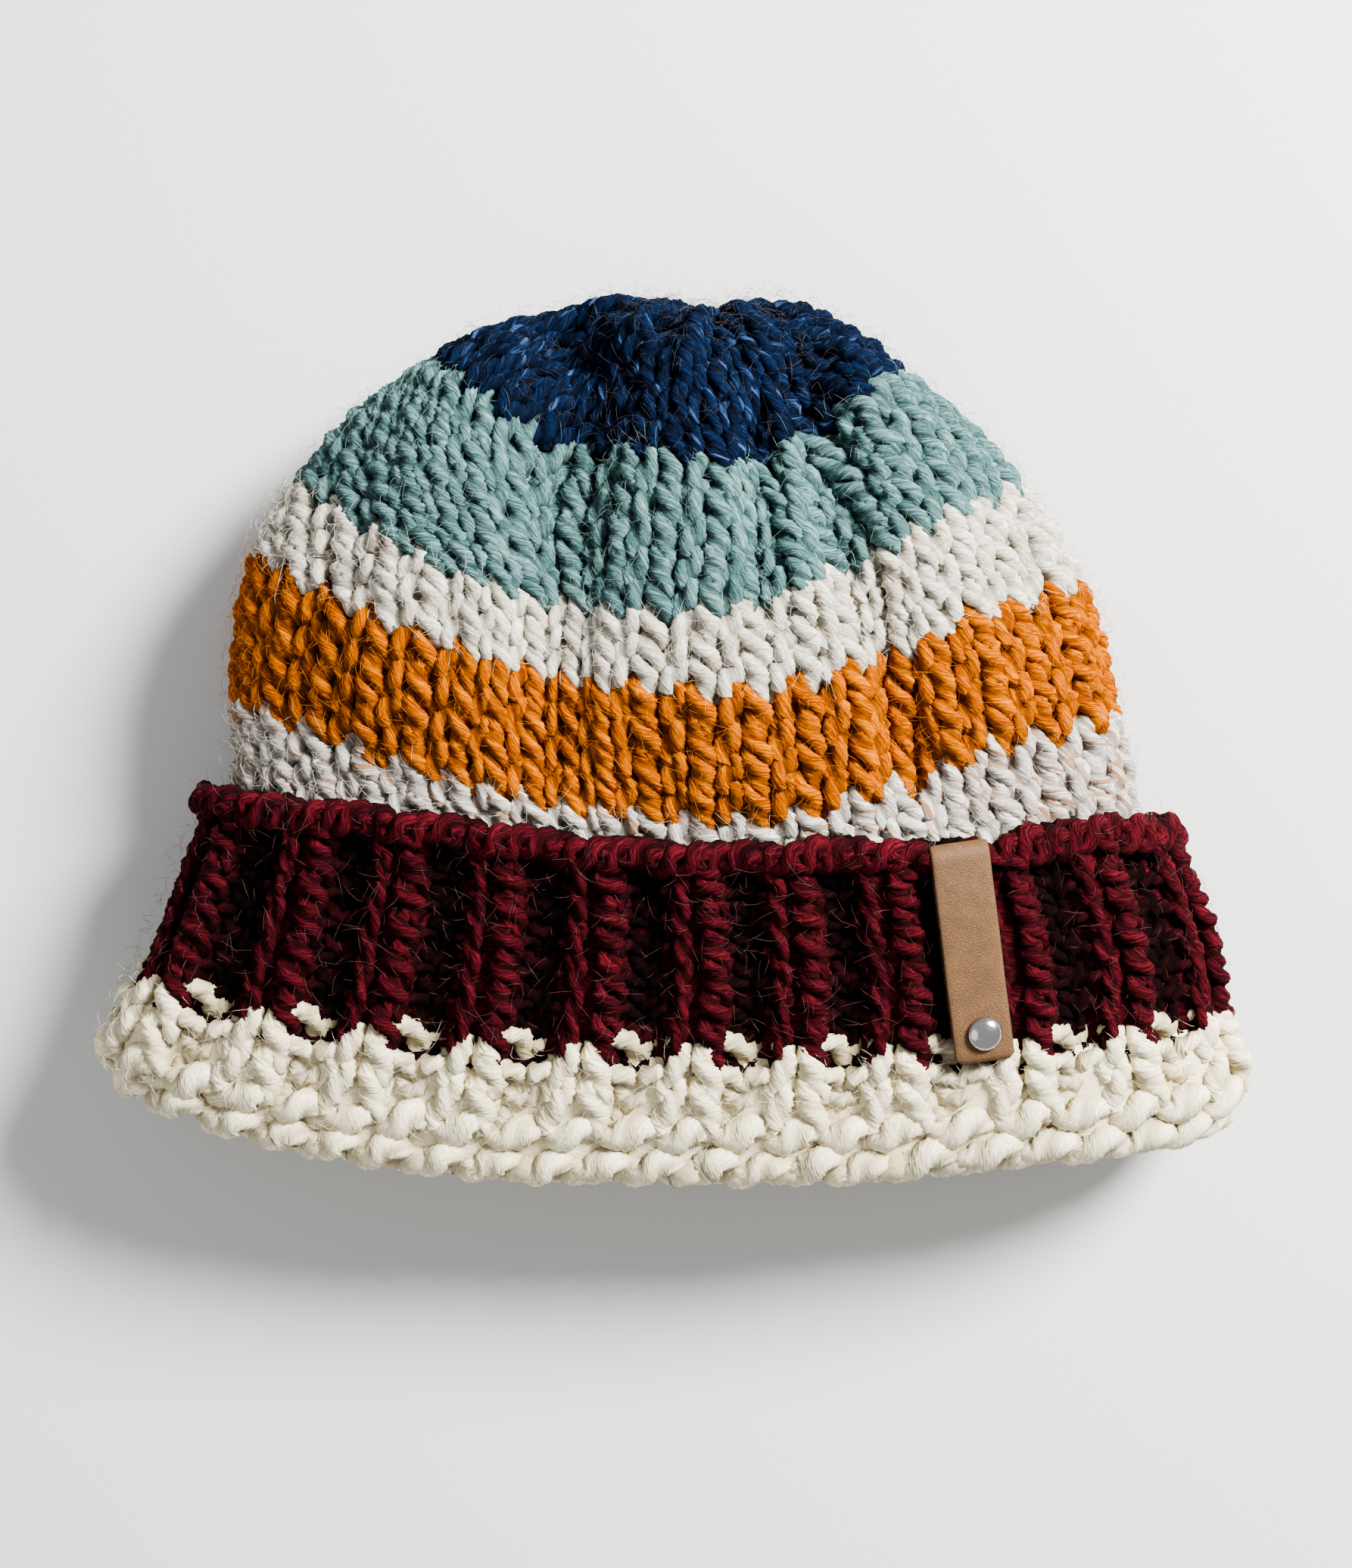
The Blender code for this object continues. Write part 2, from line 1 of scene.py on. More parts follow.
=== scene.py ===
"""Looks of a chunky knitted beanie that lies on its back, with a turned-up ribbed cuff and a riveted tag.

Every stitch is a loop of two-ply yarn. A course is one closed line round the hat, worked out as whole
arrays on the same surface as the solids, and the yarn's two-ply cross-section turns as it follows the line.
"""

import math
from collections import namedtuple

import bpy
import numpy as np
from mathutils import Matrix, Vector


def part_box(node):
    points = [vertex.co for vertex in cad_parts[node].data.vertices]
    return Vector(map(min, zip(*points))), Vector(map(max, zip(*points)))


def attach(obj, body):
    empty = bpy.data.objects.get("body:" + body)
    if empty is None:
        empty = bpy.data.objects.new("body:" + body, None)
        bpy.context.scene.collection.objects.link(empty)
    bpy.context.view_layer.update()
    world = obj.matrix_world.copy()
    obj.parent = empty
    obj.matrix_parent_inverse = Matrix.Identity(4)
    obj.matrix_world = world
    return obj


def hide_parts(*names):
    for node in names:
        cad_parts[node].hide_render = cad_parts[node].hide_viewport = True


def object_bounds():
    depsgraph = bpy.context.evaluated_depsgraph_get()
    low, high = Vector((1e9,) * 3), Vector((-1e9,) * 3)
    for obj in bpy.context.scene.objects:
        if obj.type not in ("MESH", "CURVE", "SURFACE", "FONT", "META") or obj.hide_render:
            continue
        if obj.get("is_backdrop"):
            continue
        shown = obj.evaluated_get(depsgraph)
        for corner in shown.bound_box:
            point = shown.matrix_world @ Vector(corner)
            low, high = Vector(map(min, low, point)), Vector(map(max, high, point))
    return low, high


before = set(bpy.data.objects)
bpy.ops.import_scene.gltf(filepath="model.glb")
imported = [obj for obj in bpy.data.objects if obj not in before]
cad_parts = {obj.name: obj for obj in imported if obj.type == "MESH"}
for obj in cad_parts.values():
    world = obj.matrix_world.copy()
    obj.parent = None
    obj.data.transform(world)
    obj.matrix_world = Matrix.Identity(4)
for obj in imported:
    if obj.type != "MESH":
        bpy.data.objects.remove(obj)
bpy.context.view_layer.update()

bl_info = {
    "name": "Knitted beanie",
    "version": (1, 0, 0),
    "blender": (4, 5, 0),
    "location": "View3D > Sidebar > Beanie",
    "description": "Builds the yarn, the leather tag, the rivet and the stage of a knitted beanie",
    "category": "Object",
}

# The hat's own sizes, in metres, as in the solids
LENGTH = 0.200
BODY_WIDTH = 0.198
PUFF_HEIGHT = 0.061
KNIT_WALL = 0.006
CUFF_WALL = 0.0075
RIB_DEPTH = 0.003
CROWN_PLEAT = 0.0015
CUFF_GAP = 0.0008
CLEARANCE = 0.0003
RIBS = 22
PLEATS = 9
STITCHES = 2 * RIBS

HEM_ROW = 3.7
OATMEAL_TOP = 13.0
MUSTARD_TOP = 17.0
WHITE_TOP = 20.0
TEAL_TOP = 25.0
CROWN_END = 31.0
CUFF_ROWS_SIDE = 9.65
CUFF_ROWS_MIDDLE = 12.1
CREAM_SHARE = 0.31
CUFF_HEIGHT = CUFF_ROWS_MIDDLE * LENGTH / CROWN_END
RIM_RADIUS = 0.5 * (CUFF_WALL + CUFF_GAP + KNIT_WALL)

TAG_THICKNESS = 0.0016
TAG_AROUND = 0.131
TAG_LEAN = 0.001
TAG_FOOT = 0.315
TAG_TURN = 0.957
TAG_SINK = 0.0012
TAG_SIDES = 32
RIVET_SIDES = 48
RIVET_RIM = 0.0004
TAIL_THICKNESS = 0.0007
RIVET_PLACE = 0.405

# One row for each cross-section. row: knitted row. side and bow: place of its sides along the hat and how
# much nearer the rim its middle is, as shares of LENGTH. power: how square the bow is. middle and half:
# centre and half width, as shares of BODY_WIDTH. top, low, edge: heights of its top, underside and widest
# point, as shares of PUFF_HEIGHT. lift: share of the cuff's wall under it. square: how flat its top is.
# corner: the rounded share of its underside.
Section = namedtuple("Section", "row side bow power middle half top low lift edge square corner")
SECTIONS = (
    Section(0.0, -0.359, 0.082, 3.0, 0.007, 0.596, 0.62, 0.00, 1.0, 0.35, 7.0, 0.16),
    Section(1.5, -0.323, 0.082, 2.8, 0.009, 0.613, 0.65, 0.00, 1.0, 0.36, 6.5, 0.16),
    Section(3.0, -0.272, 0.081, 2.5, 0.012, 0.592, 0.69, 0.00, 1.0, 0.36, 6.0, 0.16),
    Section(6.0, -0.176, 0.072, 2.2, 0.020, 0.562, 0.75, 0.00, 1.0, 0.36, 5.0, 0.17),
    Section(10.0, -0.046, 0.087, 2.0, 0.013, 0.514, 0.83, 0.00, 1.0, 0.36, 3.8, 0.18),
    Section(11.5, 0.003, 0.105, 2.0, 0.008, 0.510, 0.86, 0.00, 1.0, 0.36, 3.3, 0.20),
    Section(13.0, 0.051, 0.122, 2.0, -0.002, 0.505, 0.89, 0.00, 0.5, 0.36, 2.8, 0.22),
    Section(15.0, 0.128, 0.128, 2.0, -0.009, 0.494, 0.95, 0.00, 0.0, 0.36, 2.5, 0.23),
    Section(17.0, 0.205, 0.133, 2.0, -0.015, 0.475, 0.99, 0.00, 0.0, 0.36, 2.3, 0.25),
    Section(20.0, 0.304, 0.146, 2.0, -0.021, 0.416, 1.00, 0.00, 0.0, 0.36, 2.2, 0.30),
    Section(22.5, 0.374, 0.138, 2.0, -0.023, 0.354, 0.96, 0.00, 0.0, 0.36, 2.1, 0.38),
    Section(25.0, 0.436, 0.112, 2.0, -0.021, 0.268, 0.86, 0.02, 0.0, 0.38, 2.0, 0.55),
    Section(27.0, 0.474, 0.072, 2.0, -0.005, 0.193, 0.76, 0.10, 0.0, 0.42, 2.0, 0.80),
    Section(29.0, 0.500, 0.031, 2.0, 0.008, 0.112, 0.66, 0.22, 0.0, 0.44, 2.0, 1.00),
    Section(30.3, 0.503, 0.008, 2.0, 0.016, 0.052, 0.57, 0.33, 0.0, 0.45, 2.0, 1.00),
    Section(31.0, 0.495, 0.000, 2.0, 0.020, 0.018, 0.50, 0.41, 0.0, 0.455, 2.0, 1.00),
)

# One row for each long fold of the front, from the crown down: its rows, its place across as shares of
# BODY_WIDTH, its half width in the same shares, and its height as shares of PUFF_HEIGHT.
Fold = namedtuple("Fold", "name row_from row_to across_from across_to half_width rise_from rise_to")
FOLDS = (
    Fold("left_valley", 27.5, 14.5, -0.120, -0.135, 0.080, -0.17, -0.06),
    Fold("left_shoulder", 27.0, 15.0, -0.230, -0.330, 0.090, 0.06, 0.03),
    Fold("middle_panel", 27.5, 14.5, 0.020, 0.060, 0.110, 0.05, 0.04),
    Fold("right_valley", 26.5, 14.0, 0.130, 0.260, 0.045, -0.11, -0.07),
    Fold("right_shoulder", 26.0, 15.0, 0.200, 0.370, 0.075, 0.05, 0.04),
)
FOLD_FADE = 1.5

# A narrow crease beside the middle panel, in the same terms, which the yarn adds to the solids' folds
CREASES = (Fold("panel_edge", 25.5, 19.5, 0.072, 0.092, 0.034, -0.085, -0.05),)

# Where the column lines of LINE_COLUMNS run at four knitted rows, as places round the hat in mean column
# widths from the middle of the front. The lines crowd in the valleys and fan out over the shoulders.
LINE_COLUMNS = (-10, -8, -6, -5, -3, -1, 0, 1, 2, 3, 4, 6, 8, 10)
LINES = {
    13.0: (-9.7, -7.5, -5.2, -4.3, -2.65, -1.2, -0.2, 0.9, 2.1, 3.2, 4.3, 6.2, 8.5, 11.2),
    17.0: (-9.6, -7.0, -4.85, -4.0, -2.6, -1.3, -0.2, 1.1, 2.3, 3.4, 4.6, 6.15, 8.35, 11.1),
    20.0: (-11.2, -7.6, -5.05, -4.3, -2.75, -1.1, 0.2, 1.4, 2.6, 3.6, 5.05, 6.7, 9.0, 11.8),
    24.8: (-12.4, -11.0, -9.0, -7.5, -4.5, -1.0, 0.55, 2.3, 3.1, 3.5, 4.5, 7.5, 11.2, 12.9),
    31.0: (-10.0, -8.0, -6.0, -5.0, -3.0, -1.0, 0.0, 1.0, 2.0, 3.0, 4.0, 6.0, 8.0, 10.0),
}

# How many rows the knitting is pulled towards the crown, or sags from it below zero, at the same places
SAG_PLACES = (-14.0, -11.0, -6.0, -3.0, 0.0, 2.2, 4.5, 6.8, 10.5, 14.0)
SAGS = {
    0.0: (0.0, 0.0, 0.2, 0.3, 0.5, 0.6, 0.8, 0.9, 0.0, 0.0),
    6.0: 10 * (0.0,),
    9.5: 10 * (0.0,),
    13.0: (0.0, 0.0, 0.3, 0.3, 0.0, 0.0, 0.4, 0.9, 0.3, 0.0),
    17.0: (0.0, 0.3, 0.3, 0.0, -0.1, -0.3, 0.1, 0.6, 0.1, 0.0),
    20.0: (0.0, -0.3, -0.3, -0.4, -0.4, -0.1, 0.6, 0.7, 0.6, 0.0),
    25.0: (0.0, 0.0, -0.2, 0.4, 0.0, -0.7, -0.1, 0.3, 0.0, 0.0),
    28.0: 10 * (0.0,),
}

# How far each rib of the cuff stands from its even place, in ribs, at the ribs from the front's middle
RIB_NUMBERS = (-11, -6, -5, -4, -3, -2, -1, 0, 1, 2, 3, 4, 5, 6, 11)
RIB_SHIFTS = (0.0, 0.0, 0.05, 0.10, 0.04, 0.05, 0.08, 0.13, 0.12, 0.04, 0.26, 0.24, 0.14, 0.05, 0.0)

SURFACE_ROWS = 311
SURFACE_POINTS = 704
SECTION_POINTS = 240

# The mean width of a stitch and the height of a back stitch on the inside, in metres, and the yarn's loop:
# how far its legs sway round the hat, in stitches, its height in rows, how far its ends go behind its legs,
# in metres, how its points crowd on its legs, how many points and turns a stitch and a lobe have, and how
# deep the cloth behind the stitches lies, in metres
STITCH_WIDTH = 0.0108
PURL_HEIGHT = 0.0014
SWAY = 0.235
LOOP_ROWS = 1.9
LOOP_DEPTH = 0.0016
LEG_CROWDING = 0.30
POINTS_PER_STITCH = 24
LOBE_POINTS = 14
BODY_TURNS = 3.0
CUFF_TURNS = 3.5
POINTS_PER_PLY = 5
BACKING = 0.0040

# The cuff: a course's height as a share of the cuff's, how far a rib's stitch spreads over the troughs
# beside it, in stitches, how much thicker a burgundy rib's right leg is than its left leg, as a share, how
# far the yarn goes behind between two lobes, and how far the tag presses the top's lobes in, in metres
CUFF_STEP = 0.092
RIB_SPREAD = 0.11
RIB_LEAN = 0.46
LOBE_DEPTH = 0.0033
LOBE_PRESS = 0.0024

# How far the tag pulls down the cuff's top and how far round the hat that and its pressure reach, as shares
TAG_PULL = 0.05
TAG_PULL_REACH = 0.07
TAG_PRESS_REACH = 0.019

# Stray fibres: their longest reach and rise and their radius, in metres, and the tone their colour follows
Fibre = namedtuple("Fibre", "length rise tone radius")
BODY_FIBRE = Fibre(0.008, 0.0026, 1.7, 3.5e-5)
CROWN_FIBRE = BODY_FIBRE._replace(tone=1.8)
CUFF_FIBRE = BODY_FIBRE._replace(tone=2.0)
DARK_HAIR = Fibre(0.013, 0.0022, 0.0, 6e-5)

# The crown's courses: its knitted row, its stitches round the hat, and its yarn's size as a share
Course = namedtuple("Course", "row stitches size")
CROWN_COURSES = (
    Course(25.45, 44, 1.0),
    Course(26.3, 44, 0.95),
    Course(27.1, 30, 1.0),
    Course(27.9, 24, 1.0),
    Course(28.7, 18, 1.0),
    Course(29.4, 12, 1.0),
    Course(30.1, 8, 1.0),
    Course(30.7, 5, 0.9),
)


def column(name, rows):
    """A column of SECTIONS at any rows: cubic stretches whose slopes keep rises and falls."""
    at = np.array([section.row for section in SECTIONS])
    values = np.array([getattr(section, name) for section in SECTIONS])
    step = np.diff(at)
    slope = np.diff(values) / step
    ends = np.concatenate([slope[:1], slope[:-1] + slope[1:], slope[-1:]])
    product = slope[:-1] * slope[1:]
    total = np.where(ends[1:-1] == 0, 1.0, ends[1:-1])
    tangent = np.concatenate([slope[:1], np.where(product > 0, 2 * product / total, 0.0), slope[-1:]])
    k = np.clip(np.searchsorted(at, rows, side="right") - 1, 0, len(step) - 1)
    t = (rows - at[k]) / step[k]
    return (
        values[k] * (1 + 2 * t) * (1 - t) ** 2
        + values[k + 1] * t**2 * (3 - 2 * t)
        + tangent[k] * step[k] * t * (1 - t) ** 2
        - tangent[k + 1] * step[k] * t**2 * (1 - t)
    )


def bump(distance):
    """1 in the middle and 0 from a distance of 1 on, smooth at both: half a cosine wave."""
    return np.where(np.abs(distance) < 1, 0.5 + 0.5 * np.cos(np.pi * distance), 0.0)


def section_outline(half, low, edge, top, square, corner):
    """A closed cross-section from the middle of its top round +X: a squared ellipse above, then a
    quarter ellipse down to a flat underside, and the same back up the other side."""
    quarter = np.linspace(0, np.pi / 2, SECTION_POINTS)
    dome = np.sqrt(1 - np.sin(quarter) ** square)
    upper = np.stack([half * np.sin(quarter), edge + (top - edge) * dome], axis=1)
    flat = half * (1 - corner)
    lower = np.stack(
        [flat + (half - flat) * np.cos(quarter), edge - (edge - low) * np.sin(quarter)], axis=1
    )
    right = np.concatenate([upper, lower[1:], [[0.0, low]]])
    left = right[::-1] * (-1, 1)
    return np.concatenate([right, left[1:]])


def even_points(outline, shares):
    """Points of an outline at the given shares of its length."""
    steps = np.linalg.norm(np.diff(outline, axis=0), axis=1)
    along = np.concatenate([[0.0], np.cumsum(steps)]) / steps.sum()
    return np.stack([np.interp(shares, along, outline[:, axis]) for axis in (0, 1)], axis=1)


def unit(vectors):
    """Vectors of length 1 along the given ones."""
    return vectors / np.maximum(np.linalg.norm(vectors, axis=-1, keepdims=True), 1e-12)


def even_places(count):
    """Places round the hat, as shares of a turn, at even distances."""
    return np.arange(count) / count


def fold_rise(folds, rows, across, front):
    """Height of the long folds: each is a bump across its line and fades at its ends."""
    rise = np.zeros_like(across)
    for fold in folds:
        share = np.clip((fold.row_from - rows) / (fold.row_from - fold.row_to), 0, 1)
        line = fold.across_from + (fold.across_to - fold.across_from) * share
        height = fold.rise_from + (fold.rise_to - fold.rise_from) * share
        inside = np.clip((fold.row_from + FOLD_FADE - rows) / FOLD_FADE, 0, 1)
        inside *= np.clip((rows - fold.row_to + FOLD_FADE) / FOLD_FADE, 0, 1)
        rise += height * bump((across - line) / fold.half_width) * inside * front
    return PUFF_HEIGHT * rise


class Fabric:
    """The outer face of the body fabric on a fine grid of rows and places round the hat, its normals,
    and the place round the hat of each column of stitches."""

    def __init__(self):
        self.rows = np.linspace(0, CROWN_END, SURFACE_ROWS)
        self.shares = np.arange(SURFACE_POINTS + 1) / SURFACE_POINTS
        lift = (CUFF_WALL + CUFF_GAP) * column("lift", self.rows)
        half = BODY_WIDTH * column("half", self.rows)
        top, low, edge = (PUFF_HEIGHT * column(name, self.rows) for name in ("top", "low", "edge"))
        square, corner = column("square", self.rows), column("corner", self.rows)
        outlines = np.stack([
            even_points(section_outline(*values), self.shares)
            for values in zip(half, low + lift, edge, top, square, corner)
        ])
        across = outlines[..., 0] / half[:, None]
        bow = column("bow", self.rows)[:, None]
        power = column("power", self.rows)[:, None]
        middle = BODY_WIDTH * column("middle", self.rows)[:, None]
        side = column("side", self.rows)[:, None]
        along = LENGTH * (side - bow * (1 - np.abs(across) ** power))
        self.points = np.stack([middle + outlines[..., 0], along, outlines[..., 1]], axis=-1)
        self.normals = self.outward()
        rows = self.rows[:, None] + 0 * across
        front = np.clip((outlines[..., 1] - edge[:, None]) / (0.5 * (top - edge))[:, None], 0, 1)
        rise = fold_rise(FOLDS, rows, self.points[..., 0] / BODY_WIDTH, front)
        gathered = np.clip((rows - TEAL_TOP) / 3, 0, 1) * np.clip((CROWN_END - rows) / 1.5, 0, 1)
        standing = np.clip(outlines[..., 1] / KNIT_WALL, 0, 1)
        rise += CROWN_PLEAT * np.cos(2 * np.pi * PLEATS * self.shares) * gathered * standing
        self.points = self.points + rise[..., None] * self.normals
        self.normals = self.outward()
        self.sag = np.zeros_like(across)
        self.fit_to_solids()
        crease = fold_rise(CREASES, rows, self.points[..., 0] / BODY_WIDTH, front)
        self.points = self.points + crease[..., None] * self.normals
        self.normals = self.outward()
        self.sag = self.spread_table(SAGS, SAG_PLACES) * (self.normals[..., 2] > 0)
        self.places = self.spread_table(LINES, LINE_COLUMNS, True) / STITCHES

    def outward(self):
        """Unit normals of the grid: the cross product of its steps round the hat and along it."""
        closed = np.concatenate([self.points[:, -2:-1], self.points, self.points[:, 1:2]], axis=1)
        return unit(np.cross(closed[:, 2:] - closed[:, :-2], np.gradient(self.points, axis=0)))

    def fit_to_solids(self):
        """Moves the grid so that its white band lies in the white band's solid."""
        around = even_places(4 * RIBS)
        ends = ((row, height) for row in (MUSTARD_TOP, WHITE_TOP) for height in (0, -KNIT_WALL))
        raw = np.concatenate([self.at(around, row, height) for row, height in ends])
        low, high = (np.array(corner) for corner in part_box("band_white"))
        move = 0.5 * (low + high) - 0.5 * (raw.min(axis=0) + raw.max(axis=0))
        self.points = self.points + move

    def spread_table(self, table, keys, turning=False):
        """A table's values over the whole grid: straight lines between its keys, rounded over half a
        column to each side, and straight lines between its rows. A turning table gains a full turn of
        columns with each turn round the hat."""
        wanted = np.arange(-STITCHES, 2 * STITCHES + 1e-9, STITCHES / SURFACE_POINTS)
        soft = np.ones(SURFACE_POINTS // STITCHES + 1) / (SURFACE_POINTS // STITCHES + 1)
        lines = []
        for values in table.values():
            turns = STITCHES * np.arange(-2, 4)
            known = (np.array(keys, float) + turns[:, None]).ravel()
            told = (np.array(values) + turns[:, None] * turning).ravel()
            line = np.convolve(np.interp(wanted, known, told), soft, "same")
            lines.append(line[SURFACE_POINTS : 2 * SURFACE_POINTS + 1])
        lines = np.stack(lines)
        at = np.clip(np.interp(self.rows, list(table), np.arange(len(lines))), 0, len(lines) - 1.001)
        share = (at % 1)[:, None]
        return lines[at.astype(int)] * (1 - share) + lines[at.astype(int) + 1] * share

    def read(self, grid, around, rows):
        """A grid's values between its points, in straight lines."""
        i = np.clip(rows / CROWN_END, 0, 1) * (SURFACE_ROWS - 1)
        j = np.mod(around, 1.0) * SURFACE_POINTS
        i0 = np.minimum(i.astype(int), SURFACE_ROWS - 2)
        j0 = np.minimum(j.astype(int), SURFACE_POINTS - 1)
        s, t = i - i0, j - j0
        if grid.ndim == 3:
            s, t = s[..., None], t[..., None]
        near = grid[i0, j0] * (1 - t) + grid[i0, j0 + 1] * t
        far = grid[i0 + 1, j0] * (1 - t) + grid[i0 + 1, j0 + 1] * t
        return near * (1 - s) + far * s

    def at(self, around, rows, height=0.0):
        """Points at a height over the outer face, below it where the height is negative."""
        around, rows = np.broadcast_arrays(np.asarray(around, float), np.asarray(rows, float))
        height = np.broadcast_to(np.asarray(height, float), rows.shape)
        pulled = rows + self.read(self.sag, around, rows)
        return self.read(self.points, around, pulled) + height[..., None] * self.normal(around, rows)

    def normal(self, around, rows):
        """Unit normals of the outer face."""
        around, rows = np.broadcast_arrays(np.asarray(around, float), np.asarray(rows, float))
        pulled = rows + self.read(self.sag, around, rows)
        return unit(self.read(self.normals, around, pulled))

    def column_width(self, columns, rows, count):
        """Width of a stitch at a column, given as a share of all columns."""
        low = self.at(self.place(columns - 0.5 / count, rows), rows)
        high = self.at(self.place(columns + 0.5 / count, rows), rows)
        return np.linalg.norm(high - low, axis=-1)

    def place(self, columns, rows):
        """Place round the hat of a column, given as a share of all columns."""
        columns, rows = np.broadcast_arrays(np.asarray(columns, float), np.asarray(rows, float))
        return self.read(self.places, columns, rows)

    def cuff_rows(self, around, share):
        """Body rows of the cuff at a share of its height: its top edge bows less than the rows do, and
        the tag pulls it down a little."""
        points = self.at(around, 6.0)
        reach = BODY_WIDTH * column("half", np.array([6.0]))[0]
        centre = 0.5 * (self.at(0.25, 6.0) + self.at(0.75, 6.0))[..., 0]
        across = np.clip(np.abs(points[..., 0] - centre) / reach, 0, 1)
        away = np.mod(around + 0.5, 1.0) - 0.5 - TAG_AROUND
        lowered = 1 - TAG_PULL * bump(away / TAG_PULL_REACH)
        return share * lowered * (CUFF_ROWS_MIDDLE + (CUFF_ROWS_SIDE - CUFF_ROWS_MIDDLE) * across**2)

    def square_out(self, around, row):
        """Outward unit vectors that stand square to the line towards the crown."""
        step = 0.02
        up = self.at(around, row + step) - self.at(around, row - step)
        return unit(np.cross(np.cross(up, self.normal(around, row)), up))


def rib_place(around):
    """Places round the hat of ribs that stand a little off their even places."""
    ribs = np.mod(RIBS * around + 0.5 * RIBS, RIBS) - 0.5 * RIBS
    return around + np.interp(ribs, RIB_NUMBERS, RIB_SHIFTS) / RIBS


def rib_dip(around, depth):
    """Depth of the troughs between the ribs, a cosine round the hat."""
    return depth * (0.5 - 0.5 * np.cos(2 * np.pi * RIBS * around))


class Weave:
    """Vertices and faces of a piece as they are added up, with what its material reads at each vertex:
    strand, the place along and across the yarn in millimetres; tone, how light it is; depth, how many
    millimetres it lies under the fabric's outer face; crown, 0 in the groove between plies, 1 off it. The
    wool material paints shade where depth is great and where crown is low."""

    def __init__(self):
        self.vertices, self.faces, self.strand, self.numbers = [], [], [], []
        self.count = 0

    def add(self, vertices, faces, strand, tone=1.0, depth=0.0, crown=1.0):
        """Adds vertices and blocks of faces that count from the first of these vertices."""
        self.vertices.append(vertices)
        self.faces += [block + self.count for block in faces]
        self.strand.append(strand)
        values = [np.broadcast_to(value, (len(vertices),)) for value in (tone, depth, crown)]
        self.numbers.append(np.stack(values))
        self.count += len(vertices)

    def mesh(self, name):
        """The finished object, with smooth faces, at the origin."""
        made = bpy.data.meshes.new(name)
        vertices = np.concatenate(self.vertices)
        sizes = np.concatenate([np.full(len(block), block.shape[1]) for block in self.faces])
        corners = np.concatenate([block.ravel() for block in self.faces])
        made.vertices.add(len(vertices))
        made.vertices.foreach_set("co", vertices.astype(np.float32).ravel())
        made.loops.add(len(corners))
        made.loops.foreach_set("vertex_index", corners.astype(np.int32))
        made.polygons.add(len(sizes))
        starts = np.concatenate([[0], np.cumsum(sizes)[:-1]])
        made.polygons.foreach_set("loop_start", starts.astype(np.int32))
        made.polygons.foreach_set("use_smooth", np.ones(len(sizes), bool))
        made.update(calc_edges=True)
        strand = made.attributes.new("strand", "FLOAT_VECTOR", "POINT")
        strand.data.foreach_set("vector", np.concatenate(self.strand).astype(np.float32).ravel())
        for title, values in zip(("tone", "depth", "crown"), np.concatenate(self.numbers, axis=1)):
            number = made.attributes.new(title, "FLOAT", "POINT")
            number.data.foreach_set("value", values.astype(np.float32))
        made.validate()
        piece = bpy.data.objects.new(name, made)
        bpy.context.collection.objects.link(piece)
        return piece


def wrap_faces(lines, sides, closed):
    """Quads of a tube whose rings lie one after another: each ring joins the next, and in a closed tube
    the last joins the first."""
    k = np.arange(lines if closed else lines - 1)[:, None]
    j = np.arange(sides)[None, :]
    after, beside = (k + 1) % lines, (j + 1) % sides
    return np.stack(
        [k * sides + j, k * sides + beside, after * sides + beside, after * sides + j], axis=-1
    ).reshape(-1, 4)


def add_caps(weave, lines, sides, poles, tone, flip=False):
    """Closes both ends of the tube that was added last with a fan to a pole each."""
    j = np.arange(sides)
    beside = (j + 1) % sides
    first, last = -lines * sides, -sides
    fans = [
        np.stack([first + beside, first + j, 0 * j], axis=1),
        np.stack([last + j, last + beside, 0 * j + 1], axis=1),
    ]
    if flip:
        fans = [fan[:, [1, 0, 2]] for fan in fans]
    weave.add(poles, fans, 1000 * poles, tone)


def yarn_outline(share):
    """Cross-section of two-ply yarn of radius 1: two circles side by side, each a share of the radius, from
    groove to groove, and how far each point is from the grooves, 0 in them and 1 on the plies' crowns."""
    offset = 1 - share
    end = math.acos(-offset / share)
    angle = np.linspace(-end, end, POINTS_PER_PLY + 1)[:-1]
    ply = np.stack([offset + share * np.cos(angle), share * np.sin(angle)], axis=1)
    return np.concatenate([ply, -ply]), np.tile(1 - np.abs(angle / end), 2)


def ply_yarn(weave, path, outward, height, radius, turns, start, tone, ply):
    """Two-ply yarn along a closed path: its cross-section turns one way along the path, as S-twist, by the
    given number of whole turns, and every point stands square to the path."""
    count = len(path)
    radius = np.broadcast_to(radius, (count,))
    ahead = unit(np.roll(path, -1, axis=0) - np.roll(path, 1, axis=0))
    side = unit(np.cross(ahead, outward))
    up = np.cross(side, ahead)
    length = np.concatenate([[0.0], np.cumsum(np.linalg.norm(np.diff(path, axis=0), axis=1))])
    total = length[-1] + np.linalg.norm(path[0] - path[-1])
    turn = start - 2 * np.pi * round(turns) * length / total
    outline, crown = yarn_outline(ply)
    along, across = np.cos(turn)[:, None], np.sin(turn)[:, None]
    toward_up = outline[:, 0] * along + outline[:, 1] * across
    toward_side = outline[:, 1] * along - outline[:, 0] * across
    ring = toward_up[..., None] * up[:, None] - toward_side[..., None] * side[:, None]
    vertices = path[:, None] + radius[:, None, None] * ring
    lean = 0.35 * turn[:, None]
    first, second = radius[:, None] * outline[:, 0], radius[:, None] * outline[:, 1]
    strand = 1000 * np.stack([
        length[:, None] + 0 * first,
        first * np.cos(lean) - second * np.sin(lean),
        first * np.sin(lean) + second * np.cos(lean),
    ], axis=-1)
    # How deep each point lies and how near the plies' groove: the material paints shade from both
    rise = height[:, None] + radius[:, None] * toward_up * (up * outward).sum(axis=1)[:, None]
    groove = np.tile(crown, (count, 1))
    weave.add(
        vertices.reshape(-1, 3),
        [wrap_faces(count, len(outline), True)],
        strand.reshape(-1, 3),
        np.repeat(tone, len(outline)),
        -1000 * rise.reshape(-1),
        groove.reshape(-1),
    )


